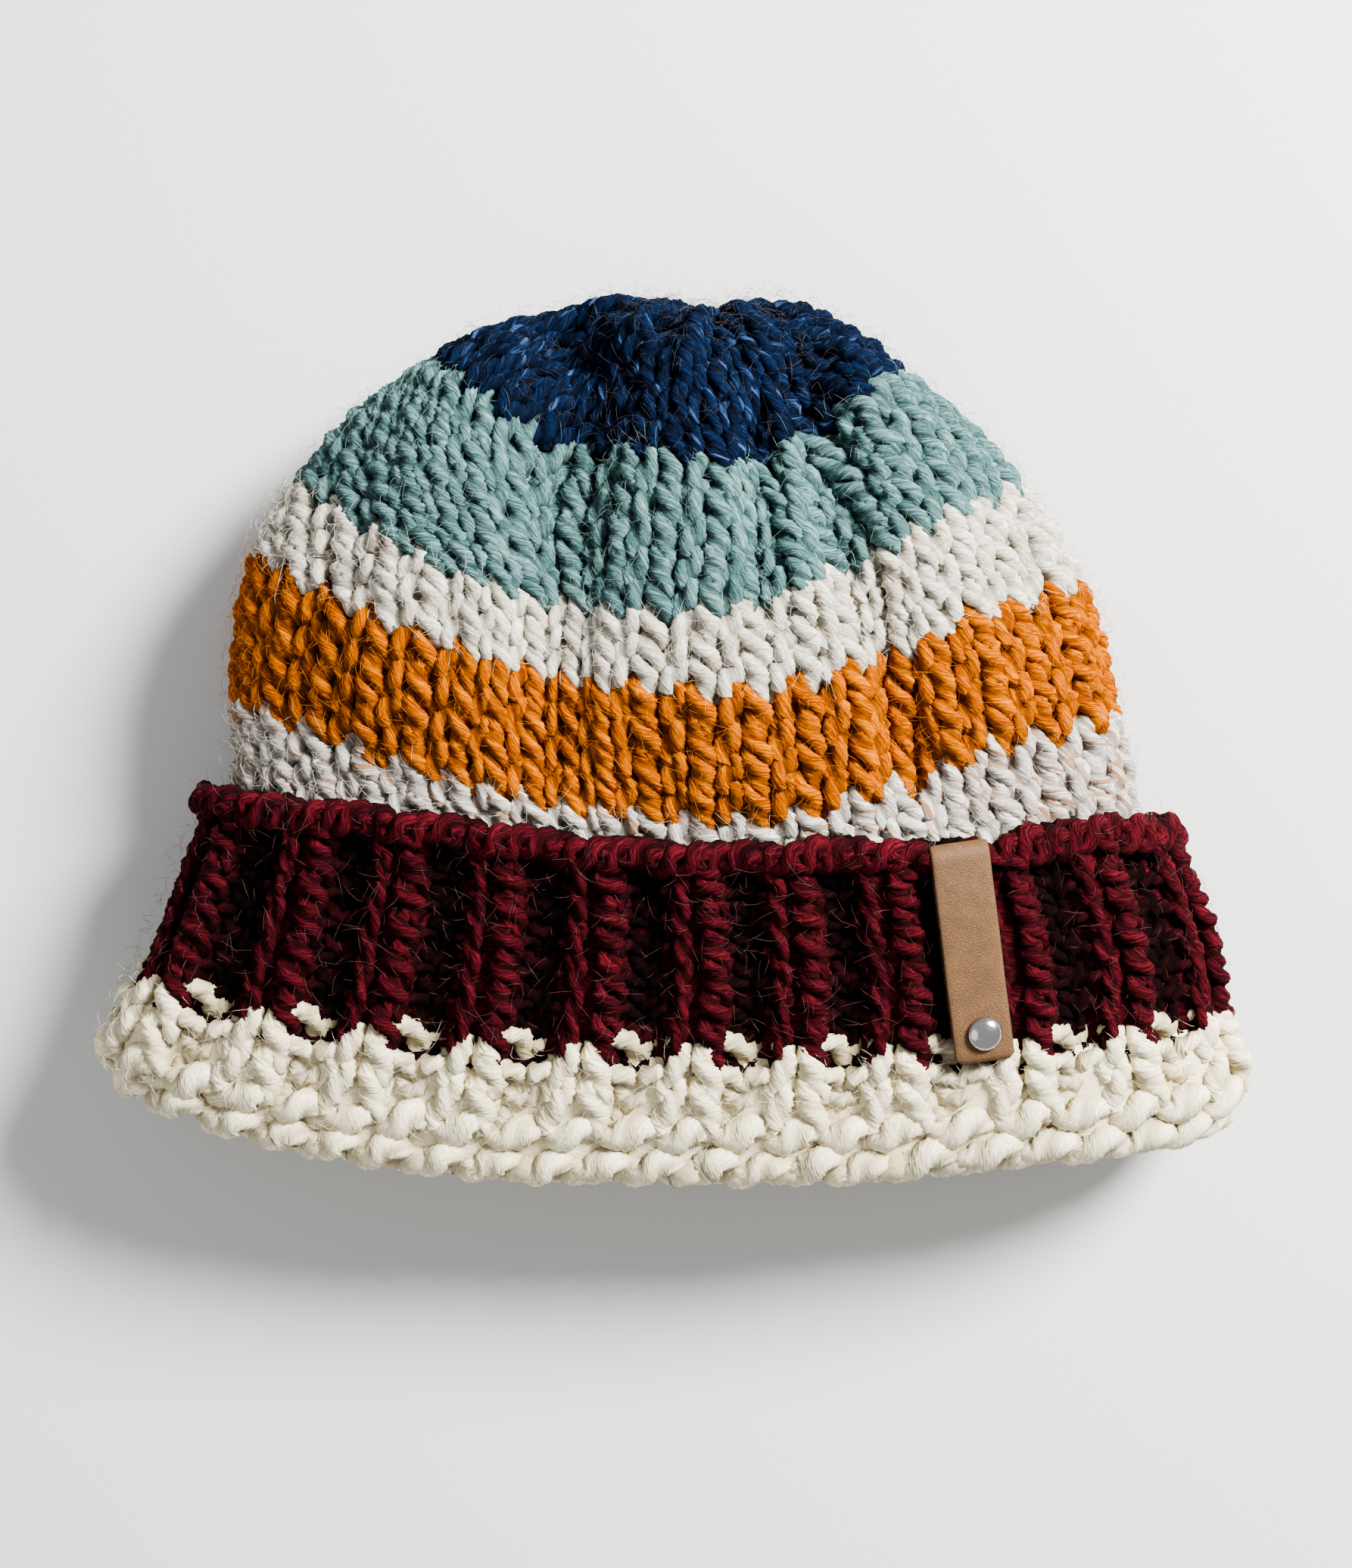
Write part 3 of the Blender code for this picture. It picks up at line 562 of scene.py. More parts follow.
def stitch_noise(rng, phase, count, spread):
    """One random value for each stitch, fading to nothing where it meets its neighbours."""
    values = rng.normal(0.0, spread, count)
    which = np.minimum((phase / (2 * np.pi)).astype(int), count - 1)
    return values[which] * np.sin(0.5 * phase) ** 2


def loop_phase(count):
    """The loop's phase for a whole course, crowded on the legs: s + crowding times sin 2s."""
    s = 2 * np.pi * np.arange(count * POINTS_PER_STITCH) / POINTS_PER_STITCH
    return s + LEG_CROWDING * np.sin(2 * s)


def body_course(weave, fabric, yarn, row, count, step, seed):
    """A course of count plain stitches, each step rows high. In each stitch the yarn goes round the hat by
    phase / 2 pi plus the sway times sin 2 phase, climbs by minus cos phase, and goes behind by half of
    1 + cos 2 phase, to the power 1.5. It is thinner where the columns stand closer than the mean."""
    rng = np.random.default_rng(seed)
    phase = loop_phase(count)
    across = phase / (2 * np.pi) + SWAY * np.sin(2 * phase) - 0.5
    across = across + stitch_noise(rng, phase, count, 0.03)
    climb = -0.5 * LOOP_ROWS * step * np.cos(phase) + stitch_noise(rng, phase, count, 0.05)
    rows = row + climb
    leg = 0.5 - 0.5 * np.cos(2 * phase)
    width = fabric.column_width(across / count, rows, count)
    radius = yarn.radius * np.clip(width / STITCH_WIDTH, 0.55, 1.0) ** 0.75
    size = radius * (0.82 + 0.25 * leg - 0.03 * np.sin(phase))
    deep = 2 * LOOP_DEPTH * (1 - leg) ** 1.5 + 0.0003 * (1 - np.sin(phase))
    deep = deep + stitch_noise(rng, phase, count, 0.0002)
    around = fabric.place(across / count, rows)
    height = -(radius + deep)
    path = fabric.at(around, rows, height)
    tone = 1.0 + stitch_noise(rng, phase, count, 0.08)
    turns = BODY_TURNS * count * (1 + rng.uniform(-0.02, 0.02))
    outward = fabric.normal(around, rows)
    ply_yarn(weave, path, outward, height, size, turns, rng.uniform(0, 6.28), tone, yarn.ply)


def cuff_path(fabric, around, share, height):
    """Points at a height over the cuff's inner face, at a share of the cuff's height, and their normals."""
    rows = fabric.cuff_rows(around, share)
    return fabric.at(around, rows, CUFF_GAP + height), fabric.normal(around, rows)


def tag_press(around, share):
    """How much the tag presses the stitches under it: 1 under it and 0 away from it."""
    centre = TAG_AROUND + TAG_LEAN * (1.0 - share)
    away = np.abs(np.mod(around - centre + 0.5, 1.0) - 0.5) / TAG_PRESS_REACH
    return np.clip(2.2 - 1.6 * away, 0, 1) * np.clip((share - TAG_FOOT + 0.03) / 0.03, 0, 1)


def rib_course(weave, fabric, yarn, share, trough, lean, sink, seed):
    """A course of one rib stitch and one back stitch by turns, upside down because the cuff is turned up.
    The loop's depth changes sign between them, and the surface dips by trough, in metres, in the troughs.
    The rib's right leg is thicker and higher than its left leg by the share lean. A course where the yarn
    changes sinks the loops' ends left of each rib by sink, in metres."""
    rng = np.random.default_rng(seed)
    phase = loop_phase(STITCHES)
    left = (np.mod(phase, 4 * np.pi) < np.pi) * lean / RIB_LEAN
    across = phase / (2 * np.pi) + (SWAY - 0.09 * left) * np.sin(2 * phase) - 0.5
    across = across + stitch_noise(rng, phase, STITCHES, 0.025)
    across = across + RIB_SPREAD * np.sin(np.pi * across)
    knit = np.sin(0.5 * np.pi * np.cos(np.pi * across))
    climb = 0.5 * LOOP_ROWS * CUFF_STEP * np.cos(phase) + stitch_noise(rng, phase, STITCHES, 0.004)
    around = rib_place(across / STITCHES)
    shares = share + climb
    leg = 0.5 - 0.5 * np.cos(2 * phase)
    right = 0.5 - 0.5 * np.sin(phase)
    rib = np.clip(knit, 0, 1)
    size = yarn.radius * (0.72 + leg * (0.24 + rib * lean * (right - 0.5)))
    behind = np.where(knit > 0, 1 - leg, leg) ** 1.5
    deep = 2 * LOOP_DEPTH * behind * np.abs(knit) + trough * (0.5 - 0.5 * knit)
    deep = deep + 0.0028 * lean * (1 - right) * rib
    ends = (0.5 + 0.5 * np.cos(phase)) ** 2 * np.clip(np.cos(np.pi * (across + 0.5)), 0, 1)
    deep = deep + sink * ends * (1 - rib)
    pressed = tag_press(around, shares)
    height = -size - np.maximum(deep, (TAG_SINK + 0.0003) * pressed)
    path, outward = cuff_path(fabric, around, shares, CUFF_WALL + height)
    tone = 1.0 + stitch_noise(rng, phase, STITCHES, 0.08)
    turns = CUFF_TURNS * STITCHES * (1 + rng.uniform(-0.02, 0.02))
    ply_yarn(weave, path, outward, height, size, turns, rng.uniform(0, 6.28), tone, yarn.ply)


def edge_lobes(weave, yarn, place, offset, seed, fat, slant=0.45):
    """A row of round lobes, one a column: the yarn comes to the front in each, by the cosine's size to the
    power 0.8, and goes behind between them. The place function gives the path and its outward direction
    from the place round the hat, the depth and the tilt. Fat is the yarn's size as a share."""
    rng = np.random.default_rng(seed)
    s = np.arange(STITCHES * LOBE_POINTS) / LOBE_POINTS
    around = rib_place((s + offset) / STITCHES)
    front = np.abs(np.cos(np.pi * s)) ** 0.8
    each = rng.normal(0.0, 1.0, (3, STITCHES))[:, np.round(s).astype(int) % STITCHES] * front
    radius = yarn.radius * fat * (0.52 + 0.54 * front + 0.05 * each[0])
    tilt = slant * radius * np.sin(2 * np.pi * s) + 0.0005 * each[2]
    deep = radius + LOBE_DEPTH * (1 - front) ** 1.2
    path, outward = place(around, deep, tilt)
    tone = 1.0 + 0.06 * each[1]
    turns = 0.8 * STITCHES
    ply_yarn(weave, path, outward, -deep, radius, turns, rng.uniform(0, 6.28), tone, yarn.ply)


def grid_ring(weave, rings, closed=True):
    """Cloth behind the stitches from loops that go round the hat one after another. In a closed ring the
    last loop joins the first."""
    rings = np.stack(rings)
    lines, sides = rings.shape[:2]
    faces = wrap_faces(lines, sides, closed)[:, ::-1]
    flat = rings.reshape(-1, 3)
    # A depth of 2.5 mm gives the cloth painted shade in the wool material
    weave.add(flat, [faces], 1000 * flat, depth=2.5)


def purl_bumps(around, rows):
    """Height of the back stitches on the inside: a bump for each stitch, staggered from row to row."""
    wave = 0.5 + 0.5 * np.cos(2 * np.pi * rows)
    step = 0.5 + 0.5 * np.cos(2 * np.pi * (STITCHES * around + 0.5 * np.floor(rows + 0.5)))
    return PURL_HEIGHT * wave * (0.35 + 0.65 * step)


def inner_face(fabric, around, rows):
    """Loops of the fabric's inner face, with its back stitches."""
    return [fabric.at(around, row, -KNIT_WALL - purl_bumps(around, row)) for row in rows]


def backing_rings(fabric, outer_rows, inner_rows):
    """The fabric behind the stitches: its inner face, and its outer face under them."""
    around = even_places(6 * STITCHES)
    outer = [fabric.at(around, row, -BACKING) for row in outer_rows]
    return inner_face(fabric, around, inner_rows)[::-1] + outer


def fibres(weave, rng, base, outward, ahead, fibre):
    """Stray fibres: thin three-sided strands that leave the yarn, bend over and end in a point. Each is
    its base, plus t times its reach, plus t squared times its curl, plus the sine of 3/4 pi t times its
    rise."""
    count = len(base)
    t = np.linspace(0, 1, 4)[None, :, None]
    side = unit(np.cross(ahead, outward))
    turn = rng.uniform(0, 2 * np.pi, (count, 1))
    along = np.cos(turn) * ahead + np.sin(turn) * side
    bent = np.cos(turn + 1.5) * ahead + np.sin(turn + 1.5) * side
    reach = fibre.length * (0.25 + 0.75 * rng.uniform(0, 1, (count, 1)) ** 1.5)
    curl = rng.uniform(-0.6, 0.6, (count, 1))
    height = fibre.rise * rng.uniform(0.3, 1.0, (count, 1))
    line = base[:, None] + t * (reach * along)[:, None] + t**2 * (curl * reach * bent)[:, None]
    line = line + np.sin(np.pi * 0.75 * t) * (height * outward)[:, None]
    spokes = 2 * np.pi * np.arange(3)[:, None] / 3
    sideways = unit(np.cross(along, outward))
    ring = np.cos(spokes) * outward[:, None] + np.sin(spokes) * sideways[:, None]
    rings = line[:, 1:3, None] + fibre.radius * ring[:, None]
    vertices = np.concatenate([line[:, :1], rings.reshape(count, 6, 3), line[:, 3:]], axis=1)
    start = 8 * np.arange(count)[:, None, None]
    j = np.arange(3)
    beside = (j + 1) % 3
    quads = np.stack([1 + j, 1 + beside, 4 + beside, 4 + j], axis=1)
    tips = np.concatenate([
        np.stack([0 * j, 1 + beside, 1 + j], axis=1),
        np.stack([0 * j + 7, 4 + j, 4 + beside], axis=1),
    ])
    faces = [(start + quads).reshape(-1, 4), (start + tips).reshape(-1, 3)]
    vertices = vertices.reshape(-1, 3)
    weave.add(vertices, faces, 1000 * vertices, fibre.tone)


def body_fibres(weave, fabric, lower, upper, count, seed, fibre=BODY_FIBRE):
    """Stray fibres all over a band."""
    rng = np.random.default_rng(seed)
    around, rows = rng.uniform(0, 1, count), rng.uniform(lower, upper, count)
    base = fabric.at(around, rows, -0.0012 * rng.uniform(0, 1, count))
    outward = fabric.normal(around, rows)
    ahead = unit(fabric.at(around, rows + 0.1) - fabric.at(around, rows - 0.1))
    fibres(weave, rng, base, outward, ahead, fibre)


def cuff_fibres(weave, fabric, lower, upper, count, seed):
    """Stray fibres all over a stretch of the cuff."""
    rng = np.random.default_rng(seed)
    around, share = rng.uniform(0, 1, count), rng.uniform(lower, upper, count)
    height = CUFF_WALL - rib_dip(around, RIB_DEPTH) - 0.0012 * rng.uniform(0, 1, count)
    away = tag_press(around, share) < 0.5
    around, share, height = around[away], share[away], height[away]
    base, outward = cuff_path(fabric, around, share, height)
    higher, _ = cuff_path(fabric, around, share + 0.01, height)
    fibres(weave, rng, base, outward, unit(higher - base), CUFF_FIBRE)


class Socket:
    """A shader socket that takes part in Python expressions: values add Math nodes."""

    def __init__(self, graph, link):
        self.graph = graph
        self.link = link

    def math(self, operation, *values):
        return self.graph.node("ShaderNodeMath", {"operation": operation}, values)

    def __add__(self, other):
        return self.math("ADD", self, other)

    def __sub__(self, other):
        return self.math("SUBTRACT", self, other)

    def __rsub__(self, other):
        return self.math("SUBTRACT", other, self)

    def __mul__(self, other):
        return self.math("MULTIPLY", self, other)

    def power(self, other):
        return self.math("POWER", self, other)

    def between(self, low, high):
        """0 at low and 1 at high, smooth between."""
        settings = {"interpolation_type": "SMOOTHSTEP"}
        values = {"Value": self, "From Min": low, "From Max": high}
        return self.graph.node("ShaderNodeMapRange", settings, values)

    __radd__ = __add__
    __rmul__ = __mul__


class Graph:
    """A material's nodes. One method adds any node from its type, settings and socket values."""

    def __init__(self, name):
        self.material = bpy.data.materials.new(name)
        self.material.use_nodes = True
        self.tree = self.material.node_tree
        self.shader = self.tree.nodes["Principled BSDF"]

    def put(self, socket, value):
        """Links a socket, or sets its own value."""
        if isinstance(value, Socket):
            self.tree.links.new(value.link, socket)
        else:
            socket.default_value = value

    def node(self, kind, settings, values=(), output=0):
        made = self.tree.nodes.new(kind)
        for key, value in settings.items():
            setattr(made, key, value)
        pairs = values.items() if isinstance(values, dict) else enumerate(values)
        for key, value in pairs:
            self.put(made.inputs[key], value)
        return Socket(self, made.outputs[output])

    def attribute(self, name, output):
        return self.node("ShaderNodeAttribute", {"attribute_name": name}, (), output)

    def stretched(self, vector, scale):
        """A vector multiplied by three numbers."""
        return self.node("ShaderNodeVectorMath", {"operation": "MULTIPLY"}, [vector, scale])

    def noise(self, vector, scale, detail, roughness):
        values = {"Vector": vector, "Scale": scale, "Detail": detail, "Roughness": roughness}
        return self.node("ShaderNodeTexNoise", {}, values, "Fac")

    def mix(self, share, first, second):
        """Two colours mixed by a share: a Mix node's colours are its inputs 6 and 7 and its output 2."""
        return self.node("ShaderNodeMix", {"data_type": "RGBA"}, {0: share, 6: first, 7: second}, 2)

    def bump(self, height, strength, distance):
        values = {"Strength": strength, "Distance": distance, "Height": height}
        return self.node("ShaderNodeBump", {}, values)

    def set(self, **values):
        """Values or links of the Principled shader's own sockets."""
        for name, value in values.items():
            self.put(self.shader.inputs[name.replace("_", " ")], value)


# The colour that stray fibres of any yarn take on in the light
STRAY = (0.62, 0.52, 0.44, 1.0)


def rgba(colour, factor=1.0):
    """A colour with its alpha, made lighter or darker by a factor."""
    return tuple(min(1.0, factor * part) for part in colour[:3]) + (1.0,)


def wool(name, colour, deep, light, fleck=None, fleck_from=0.62, shade=0.22, sheen=0.03):
    """Wool yarn: fine streaks of fibre run along it, and a tweed or heather yarn has long flecks of another
    colour. Painted shade darkens the groove between the plies and the parts that lie deep in the fabric."""
    graph = Graph(name)
    strand = graph.attribute("strand", "Vector")
    tone = graph.attribute("tone", "Fac")
    depth = graph.attribute("depth", "Fac")
    crown = graph.attribute("crown", "Fac")
    streaks = graph.noise(graph.stretched(strand, (0.18, 1.8, 1.8)), 1.0, 4.0, 0.75)
    hairs = graph.noise(graph.stretched(strand, (0.5, 7.0, 7.0)), 1.0, 2.0, 0.6)
    patches = graph.noise(graph.stretched(strand, (0.12, 0.30, 0.30)), 1.0, 2.0, 0.5)
    share = (streaks * 0.9 + hairs * 0.5 + patches * 0.2).between(0.66, 0.96)
    body = graph.mix(share, rgba(deep), rgba(colour))
    body = graph.mix(share.power(2.0) * 0.7, body, rgba(light))
    if fleck is not None:
        spots = graph.noise(graph.stretched(strand, (0.08, 0.45, 0.45)), 1.0, 2.0, 0.6)
        spots = spots.between(fleck_from, fleck_from + 0.10)
        body = graph.mix(spots * (streaks + 0.3), body, rgba(fleck))
    # Painted shade: the plies' groove and the parts deep in the fabric are mixed towards this dark colour,
    # which stitches and hairs of a lower tone also take on
    dark = rgba(deep, shade)
    body = graph.mix((1.0 - crown.between(0.0, 0.5)) * 0.65, body, dark)
    body = graph.mix(depth.between(1.2, 5.8) * 0.94, body, dark)
    body = graph.mix((tone - 1.0).between(0.0, 0.5) * 0.5, body, rgba(light))
    body = graph.mix((1.0 - tone).between(0.0, 0.5) * 0.5, body, dark)
    body = graph.mix((tone - 1.5).between(0.0, 0.4) * 0.16, body, STRAY)
    relief = streaks * 0.5 + hairs * 0.35 + crown.between(0.0, 0.35) * 0.5
    graph.set(
        Base_Color=body,
        Roughness=0.9,
        Sheen_Weight=sheen,
        Sheen_Roughness=0.5,
        Sheen_Tint=rgba(light),
        Specular_IOR_Level=0.08,
        Normal=graph.bump(relief, 1.0, 0.0007),
    )
    graph.material.diffuse_color = rgba(colour)
    return graph.material


def leather(name, colour, edge):
    """Vegetable-tanned leather: pores, fine creases and darker burnished edges, where the tone is 1."""
    graph = Graph(name)
    strand = graph.attribute("strand", "Vector")
    tone = graph.attribute("tone", "Fac")
    grain = graph.noise(strand, 2.6, 4.0, 0.65)
    cloud = graph.noise(strand, 0.25, 3.0, 0.6)
    cells = {"Vector": strand, "Scale": 2.4}
    pores = graph.node("ShaderNodeTexVoronoi", {"feature": "DISTANCE_TO_EDGE"}, cells, "Distance")
    body = graph.mix(cloud.between(0.3, 0.7), rgba(colour, 0.82), rgba(colour, 1.15))
    body = graph.mix(grain.between(0.35, 0.7) * 0.5, body, rgba(colour, 0.62))
    body = graph.mix(tone, body, rgba(edge))
    relief = grain * 0.6 + pores.between(0.0, 0.25) * 0.5
    graph.set(
        Base_Color=body,
        Roughness=grain * 0.2 + 0.5,
        Normal=graph.bump(relief, 0.5, 0.0003),
    )
    graph.material.diffuse_color = rgba(colour)
    return graph.material


def metal(name, colour):
    """Nickel-plated metal with faint handling scratches."""
    graph = Graph(name)
    place = graph.node("ShaderNodeTexCoord", {}, (), "Object")
    scuffs = graph.noise(graph.stretched(place, (900.0, 4200.0, 900.0)), 1.0, 3.0, 0.6)
    graph.set(
        Base_Color=rgba(colour),
        Metallic=1.0,
        Roughness=scuffs.between(0.4, 0.8) * 0.16 + 0.14,
        Normal=graph.bump(scuffs, 0.08, 0.0001),
    )
    graph.material.diffuse_color = rgba(colour)
    return graph.material


def floor_paint(name, colour):
    """A pale matte floor with the faintest unevenness."""
    graph = Graph(name)
    place = graph.node("ShaderNodeTexCoord", {}, (), "Object")
    cloud = graph.noise(place, 3.0, 3.0, 0.5)
    graph.set(
        Base_Color=graph.mix(cloud.between(0.2, 0.8), rgba(colour, 0.985), rgba(colour)),
        Roughness=0.8,
    )
    return graph.material


def number_property(name, description, default, unit="LENGTH"):
    """A number of the panel's settings, a length in metres unless its unit says otherwise."""
    return bpy.props.FloatProperty(name=name, description=description, default=default, unit=unit)


def colour_property(name, description, default):
    """A colour of the panel's settings, as linear red, green and blue."""
    return bpy.props.FloatVectorProperty(
        name=name, description=description, default=default, size=3, subtype="COLOR"
    )


class BeanieYarn(bpy.types.PropertyGroup):
    width: number_property("Yarn width", "Width of the two-ply yarn", 0.0057)
    navy: colour_property("Navy", "Crown yarn", (0.0018, 0.0065, 0.022))
    teal: colour_property("Teal", "Teal band yarn", (0.080, 0.175, 0.170))
    white: colour_property("White", "Off-white band yarn", (0.80, 0.75, 0.63))
    mustard: colour_property("Mustard", "Mustard band yarn", (0.50, 0.115, 0.001))
    oatmeal: colour_property("Oatmeal", "Tweed band yarn", (0.66, 0.60, 0.51))
    burgundy: colour_property("Burgundy", "Cuff yarn", (0.058, 0.0035, 0.0065))
    cream: colour_property("Cream", "Rim yarn", (1.0, 0.93, 0.69))


class BeanieTag(bpy.types.PropertyGroup):
    width: number_property("Tag width", "Width of the leather strip", 0.0127)
    leather: colour_property("Leather", "Colour of the tag", (0.125, 0.058, 0.017))
    rivet_radius: number_property("Rivet radius", "Radius of the rivet's head", 0.0037)
    rivet_dome: number_property("Rivet dome", "Height of the rivet's head", 0.0023)
    metal: colour_property("Metal", "Colour of the rivet", (0.50, 0.49, 0.48))


class BeanieStage(bpy.types.PropertyGroup):
    camera_height: number_property("Camera height", "Height of the camera over the floor", 0.668)
    lens: number_property("Lens", "Focal length", 66.8, "CAMERA")
    key_power: number_property("Key light", "Power of the large light", 66.0, "POWER")
    sky: number_property("Sky", "Strength of the even light", 0.52, "NONE")
    floor: colour_property("Floor", "Colour of the floor", (0.62, 0.615, 0.60))


Yarn = namedtuple("Yarn", "radius ply")


def yarn_of(context, scale=1.0, ply=0.67):
    """The yarn's radius, scaled, and the radius of its plies as a share of that."""
    return Yarn(0.5 * context.scene.beanie_yarn.width * scale, ply)


def finish_piece(weave, node, material, part=""):
    """Makes the object that stands for a solid, or for a named part of one."""
    piece = weave.mesh(node + part + "_yarn")
    piece.data.materials.append(material)
    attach(piece, "root")
    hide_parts(node)


# One row for each plain band: its node and slot, its rows, the row of its first course, its yarn's colour
# property, the colours of its deep and light fibres and of its flecks, the noise from which flecks show,
# and how bright its darkest colour is, as a share of the deep colour: the painted shade in the plies'
# groove and deep in the fabric, and its darker stitches
Band = namedtuple("Band", "node slot lower upper first colour deep light fleck fleck_from shade")
BANDS = (
    Band("band_oatmeal", "oatmeal_yarn", HEM_ROW, OATMEAL_TOP, 9.5, "oatmeal",
         (0.30, 0.26, 0.22), (0.95, 0.93, 0.88), (0.33, 0.15, 0.06), 0.535, 0.45),
    Band("band_mustard", "mustard_yarn", OATMEAL_TOP, MUSTARD_TOP, 13.5, "mustard",
         (0.20, 0.036, 0.0005), (0.80, 0.26, 0.003), None, 0.0, 0.22),
    Band("band_white", "white_yarn", MUSTARD_TOP, WHITE_TOP, 17.5, "white",
         (0.42, 0.36, 0.27), (1.0, 0.97, 0.87), None, 0.0, 0.45),
    Band("band_teal", "teal_yarn", WHITE_TOP, TEAL_TOP, 20.5, "teal",
         (0.035, 0.085, 0.085), (0.30, 0.45, 0.42), None, 0.0, 0.25),
)


class BEANIE_OT_bands(bpy.types.Operator):
    """Knits the four plain bands of the body"""

    bl_idname = "beanie.bands"
    bl_label = "Bands"

    def execute(self, context):
        fabric = Fabric()
        for number, band in enumerate(BANDS):
            weave = Weave()
            tall = band.upper - band.lower
            outer_rows, inner_rows = (
                np.linspace(band.lower, band.upper, round(tall * share) + 1) for share in (1.5, 4)
            )
            grid_ring(weave, backing_rings(fabric, outer_rows, inner_rows))
            for row in np.arange(band.first, band.upper, 1.0):
                yarn = yarn_of(context, 1.0 - 0.06 * max(0.0, row - 19.0) / 5.0)
                body_course(weave, fabric, yarn, row, STITCHES, step=1.0, seed=100 * number + int(row))
            body_fibres(weave, fabric, band.first - 0.5, band.upper, count=2100, seed=500 + number)
            if band.node == "band_white":
                body_fibres(weave, fabric, band.lower, band.upper, count=160, seed=77, fibre=DARK_HAIR)
            colour = getattr(context.scene.beanie_yarn, band.colour)
            material = wool(band.slot, colour, *band[6:])
            finish_piece(weave, band.node, material)
        return {"FINISHED"}


class BEANIE_OT_crown(bpy.types.Operator):
    """Knits the gathered crown, with fewer stitches in each course towards the nub"""

    bl_idname = "beanie.crown"
    bl_label = "Crown"

    def execute(self, context):
        fabric = Fabric()
        weave = Weave()
        for number, course in enumerate(CROWN_COURSES):
            yarn = yarn_of(context, course.size)
            body_course(weave, fabric, yarn, course.row, course.stitches, step=0.85, seed=900 + number)
        outer_rows, inner_rows = np.linspace(TEAL_TOP, CROWN_END, 10), np.linspace(TEAL_TOP, 29.0, 17)
        rings = backing_rings(fabric, outer_rows, inner_rows)
        grid_ring(weave, rings, closed=False)
        poles = np.array([rings[0].mean(axis=0), rings[-1].mean(axis=0) + (0.0, 0.001, 0.0)])
        # The caps' tone of 0.75 darkens them like the deep cloth round them: painted shade
        add_caps(weave, len(rings), len(rings[0]), poles, 0.75, flip=True)
        body_fibres(weave, fabric, TEAL_TOP, 30.5, count=1800, seed=640, fibre=CROWN_FIBRE)
        colour, deep, light = context.scene.beanie_yarn.navy, (0.0007, 0.0020, 0.006), (0.009, 0.030, 0.09)
        fleck = (0.060, 0.125, 0.28)
        material = wool("navy_yarn", colour, deep, light, fleck, fleck_from=0.60)
        finish_piece(weave, "crown_top", material)
        return {"FINISHED"}


def cuff_top_place(fabric, angle):
    """Places on the cuff's rounded top edge: a half circle from its outer face (0) to its inner (180)."""
    radius = 0.5 * CUFF_WALL

    def place(around, deep, tilt):
        pressed = deep + LOBE_PRESS * tag_press(around, 1.0)
        reach = np.maximum(radius - pressed, -0.7 * radius)
        share = 1.0 - (radius - reach * math.sin(angle) - tilt) / CUFF_HEIGHT
        return cuff_path(fabric, around, share, radius + reach * math.cos(angle))

    return place


def rim_fold(fabric, around, angle):
    """The folded rim, a half circle from the outer layer (0) to the inner layer (180): its centre, the
    outward direction at an angle, and the direction along the half circle there."""
    start = fabric.at(around, 0.0)
    out = fabric.normal(around, 0.0)
    rimward = unit(start - fabric.at(around, 0.3))
    outward = math.cos(angle) * out + math.sin(angle) * rimward
    down = math.cos(angle) * rimward - math.sin(angle) * out
    return start + (CUFF_WALL + CUFF_GAP - RIM_RADIUS) * out, outward, down


def rim_place(fabric, angle):
    """Places on the folded rim, at an angle of its half circle."""

    def place(around, deep, tilt):
        centre, outward, down = rim_fold(fabric, around, angle)
        return centre + (RIM_RADIUS - deep)[:, None] * outward - tilt[:, None] * down, outward

    return place


def cuff_face_place(fabric, share):
    """Places on the cuff's outer face at a share of its height."""

    def place(around, deep, tilt):
        return cuff_path(fabric, around, share + tilt / CUFF_HEIGHT, CUFF_WALL - deep)

    return place


